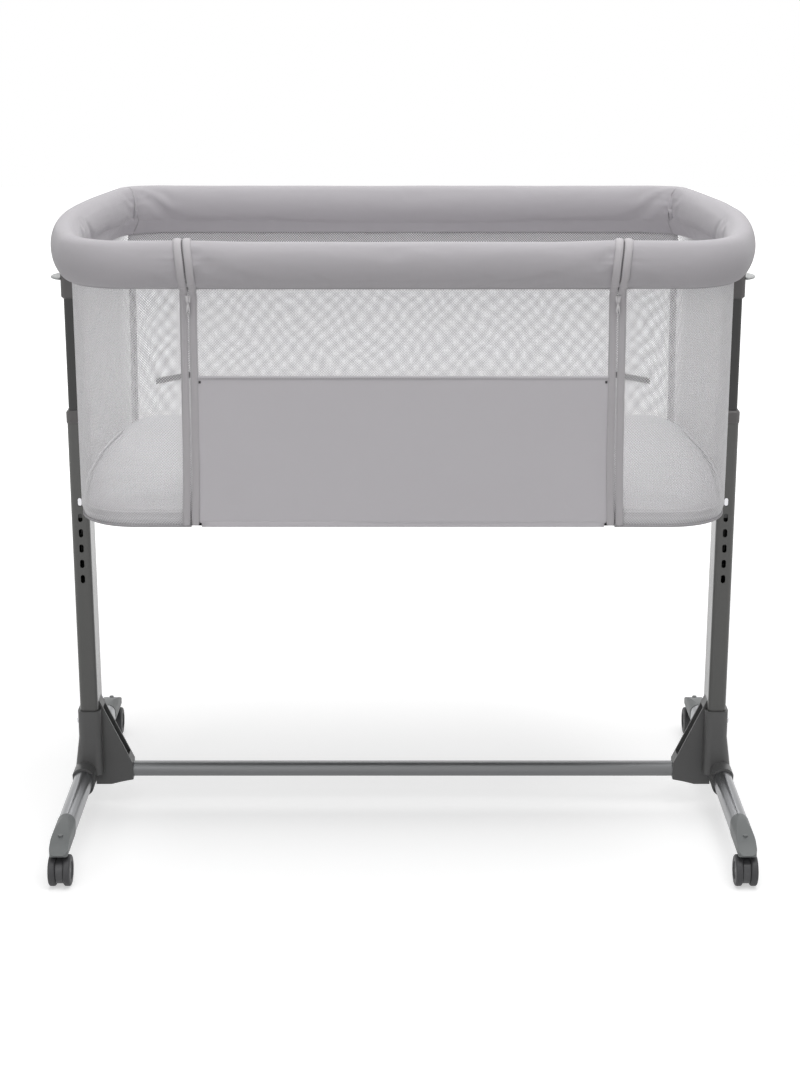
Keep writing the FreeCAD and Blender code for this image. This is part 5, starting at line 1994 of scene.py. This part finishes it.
    def slider(self, end: End) -> None:
        """Makes the slider body, its bridge and its hanging pull.

        Args:
            end: Which zip.
        """
        z = self.slider_z
        x = SIZES.zip_line(z)
        y = -SIZES.half_depth(z) - 0.0036
        form = Form()
        self.block(form, (x, y, z), (0.0078, 0.0030, 0.0100), 0.62, 0.0011, 3)
        self.block(form, (x, y - 0.0021, z - 0.0002), (0.0020, 0.0022, 0.0062), 1.0, 0.0006, 2)
        self.pull_tab(form, x, y - 0.0038, z - 0.0028)
        piece = form.piece(f"zip_puller_{end.word}", Finishes.SLIDER, mirrored=end.mirrored)
        place_piece(piece, f"zip_slider_{end.word}")
        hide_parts(f"zip_slider_{end.word}")

    def pull_tab(self, form: Form, x: float, y: float, top: float) -> None:
        """Adds a flat tapered pull with a hole in its tip.

        Args:
            form: The form that it joins.
            x: Its middle along the crib.
            y: Its front.
            top: Its upper end.
        """
        tip = top - self.pull_length
        rows = ((0.0027, tip, top), (0.0011, tip + 0.0018, tip + 0.0075))
        rings = [bmesh.ops.create_circle(form.mesh, segments=28, radius=1.0)["verts"] for _ in rows]
        for ring, (width, low, high) in zip(rings, rows):
            for vertex in ring:
                share = 0.5 + 0.5 * vertex.co.y
                taper = 1.0 - 0.25 * share
                vertex.co = (x + vertex.co.x * width * taper, y, low + (high - low) * share)
        edges = [edge for edge in form.mesh.edges if edge.is_wire]
        faces = bmesh.ops.bridge_loops(form.mesh, edges=edges)["faces"]
        made = bmesh.ops.extrude_face_region(form.mesh, geom=faces)["geom"]
        bmesh.ops.translate(form.mesh, vec=(0.0, 0.0013, 0.0), verts=vertices_of(made))

    def end_tacks(self) -> None:
        """Makes the dark tacks under the sliders."""
        for half in (Half.DROP, Half.FIXED):
            form = Form()
            for end in End:
                for index in range(self.tacks):
                    z = self.tack_z + self.tack_pitch * index
                    x = end.value * (SIZES.zip_line(z) + half.value * 0.0013)
                    form.stitch(Vector((x, -SIZES.half_depth(z) - 0.0024, z)), 0.0005, 0.0010)
            place_piece(form.piece(f"zip_tacks_{half.word}", Finishes.DARK_STITCH), half.body)

    def build(self) -> None:
        """Makes both zips."""
        for end in End:
            for half, node in ((Half.FIXED, "seam_tapes"), (Half.DROP, "zip_tapes")):
                flap = self.flap(end, half)
                if end is End.RIGHT:
                    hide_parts(node)
                self.coil(end, half)
                self.stitches(end, half)
            self.slider(end)
        self.end_tacks()


# ------------------------------------------------------------------ finishes of the solids
@dataclass
class Hardware:
    """Finishes of the metal and plastic solids that keep their own shape."""

    post: Finish = PaintedMetal("post_paint", linear(68, 68, 66))
    upper_post: Finish = PaintedMetal("upper_post_paint", linear(36, 36, 36), coat=0.2)
    bracket: Finish = Plastic("bracket_plastic", linear(100, 98, 98))
    shoe: Finish = Plastic("shoe_plastic", linear(84, 84, 84), roughness=0.42)
    bar: Finish = BareMetal("cross_bar_paint", linear(122, 123, 124), roughness=0.46,
                            stretch=(1.0, 60.0, 60.0))
    foot: Finish = BareMetal("foot_tube_paint", linear(148, 149, 151), roughness=0.30, relief=0.00001)
    cap: Finish = Plastic("end_cap_plastic", linear(106, 109, 109))
    tab: Finish = Plastic("release_tab_plastic", linear(178, 180, 180), roughness=0.4)
    steel: Finish = BareMetal("bright_steel", linear(205, 205, 208), roughness=0.22, stretch=(8.0, 8.0, 8.0))
    housing: Finish = Plastic("caster_housing_plastic", linear(74, 74, 76), roughness=0.4)
    wheel: Finish = Plastic("wheel_plastic", linear(60, 60, 62), roughness=0.55)
    tube: Finish = BareMetal("rim_tube_steel", linear(150, 150, 152))
    board: Finish = Board("base_board", linear(176, 150, 116))

    def finish_of(self, node: str) -> Finish:
        """The finish of a solid, from the first row that its name starts with.

        Args:
            node: The solid's name.

        Returns:
            Its finish, which is bright steel where no row fits.
        """
        rows = [("lower_post", self.post), ("upper_post", self.upper_post), ("post_collar", self.bracket),
                ("top_bracket", self.bracket), ("base_bracket", self.shoe), ("cross_bar", self.bar),
                ("foot_tube", self.foot), ("foot_caps", self.cap), ("release_tab", self.tab),
                ("caster_housing", self.housing), ("caster_wheel", self.wheel), ("caster_pins", self.cap),
                ("base_board", self.board), ("rim_frame", self.tube), ("front_rail", self.tube),
                ("bottom_frame", self.tube)]
        for word, finish in rows:
            if node.startswith(word):
                return finish
        return self.steel

    def build(self) -> None:
        """Gives each solid its finish."""
        for name, node in frame["nodes"].items():
            if node.hide_render:
                continue
            material = FINISHES.get(self.finish_of(name))
            if not node.material_slots:
                node.data.materials.append(material)
            for slot in node.material_slots:
                slot.material = material
            LOG.info("%s keeps its solid, as %s", name, material.name)


# ------------------------------------------------------------------ studio
@dataclass
class Studio:
    """Floor, background, lamps and camera."""

    camera_place: tuple[float, float, float] = (0.0, -2.8483, 1.2472)
    camera_tilt: float = 73.557
    lens: float = 71.75
    shift: float = -0.0028
    floor_size: float = 14.0
    floor_grey: float = 0.7
    near_glow: float = 0.5
    shadow_reach: float = 1.1
    fill: float = 0.42

    def build_floor(self) -> None:
        """Makes the pale floor, white to the camera but for the crib's shadow."""
        half = self.floor_size / 2
        floor = cut_cloth("studio_floor", Finishes.PANEL, (8, 8), (self.floor_size, self.floor_size),
                          lambda across, along: Vector((across - half, along - half, 0.0)))
        swatch = Swatch("studio_floor_white")
        place = swatch.place("Object")
        away = swatch.node("ShaderNodeVectorMath", {"operation": "LENGTH"}, {0: place}, "Value")
        lift = ((away - self.shadow_reach) * 0.8).clamped() * (1 - self.near_glow) + self.near_glow
        matt = swatch.node("ShaderNodeBsdfDiffuse", {}, {"Color": (self.floor_grey,) * 3 + (1.0,)})
        glow = swatch.node("ShaderNodeEmission", {}, {"Color": lift, "Strength": 1.0})
        both = swatch.node("ShaderNodeAddShader", {}, {0: matt, 1: glow})
        swatch.close(swatch.node("ShaderNodeMixShader", {}, {0: swatch.seen_directly(), 1: matt, 2: both}))
        floor.data.materials.clear()
        floor.data.materials.append(swatch.material)

    def build_world(self) -> None:
        """Lights the crib evenly and shows white behind it."""
        world = bpy.data.worlds.new("studio_light")
        bpy.context.scene.world = world
        canvas = Canvas(world, "ShaderNodeOutputWorld")
        light = canvas.node("ShaderNodeBackground", {}, {"Color": WHITE, "Strength": self.fill})
        white = canvas.node("ShaderNodeBackground", {}, {"Color": WHITE, "Strength": 1.0})
        canvas.close(canvas.node("ShaderNodeMixShader", {}, {0: canvas.seen_directly(), 1: light, 2: white}))

    @staticmethod
    def lamp(name: str, place: Sequence[float], target: Sequence[float], size: float, power: float) -> None:
        """Adds a soft square lamp.

        Args:
            name: Its name.
            place: Where it hangs.
            target: What it points at.
            size: Its side.
            power: Its power in watts.
        """
        data = bpy.data.lights.new(name, "AREA")
        data.shape = "SQUARE"
        data.size = size
        data.energy = power
        lamp = bpy.data.objects.new(name, data)
        lamp.location = place
        aim = Vector(target) - Vector(place)
        lamp.rotation_euler = aim.to_track_quat("-Z", "Y").to_euler()
        bpy.context.scene.collection.objects.link(lamp)

    def build_camera(self) -> None:
        """Sets the camera at the photograph's view."""
        data = bpy.data.cameras.new("front_camera")
        data.lens = self.lens
        data.sensor_width = 36.0
        data.sensor_fit = "AUTO"
        data.shift_x = self.shift
        camera = bpy.data.objects.new("front_camera", data)
        camera.location = self.camera_place
        camera.rotation_euler = (math.radians(self.camera_tilt), 0.0, 0.0)
        bpy.context.scene.collection.objects.link(camera)
        bpy.context.scene.camera = camera

    def build(self) -> None:
        """Sets the whole studio."""
        bpy.context.scene.view_settings.view_transform = "Standard"
        self.build_floor()
        self.build_world()
        self.lamp("overhead_softbox", (0.3, -0.6, 3.2), (0.0, 0.0, 0.6), 2.4, 62.0)
        self.lamp("rear_softbox", (0.0, 2.2, 2.3), (0.0, 0.0, 0.3), 2.0, 22.0)
        self.lamp("front_softbox", (-1.6, -3.4, 1.9), (0.0, 0.0, 0.6), 1.8, 16.0)
        self.build_camera()


def main() -> None:
    """Builds the crib piece by piece and sets the studio."""
    logging.basicConfig(level=logging.INFO, format="%(name)s: %(message)s")
    for assembly in (PaddedRim(), Walls(), HemPiping(), CornerTapes(), RearStraps(), Mattress(),
                     BasketFloor(), DropSide(), Zips(), Hardware(), Studio()):
        assembly.build()


if __name__ == "__main__":
    main()
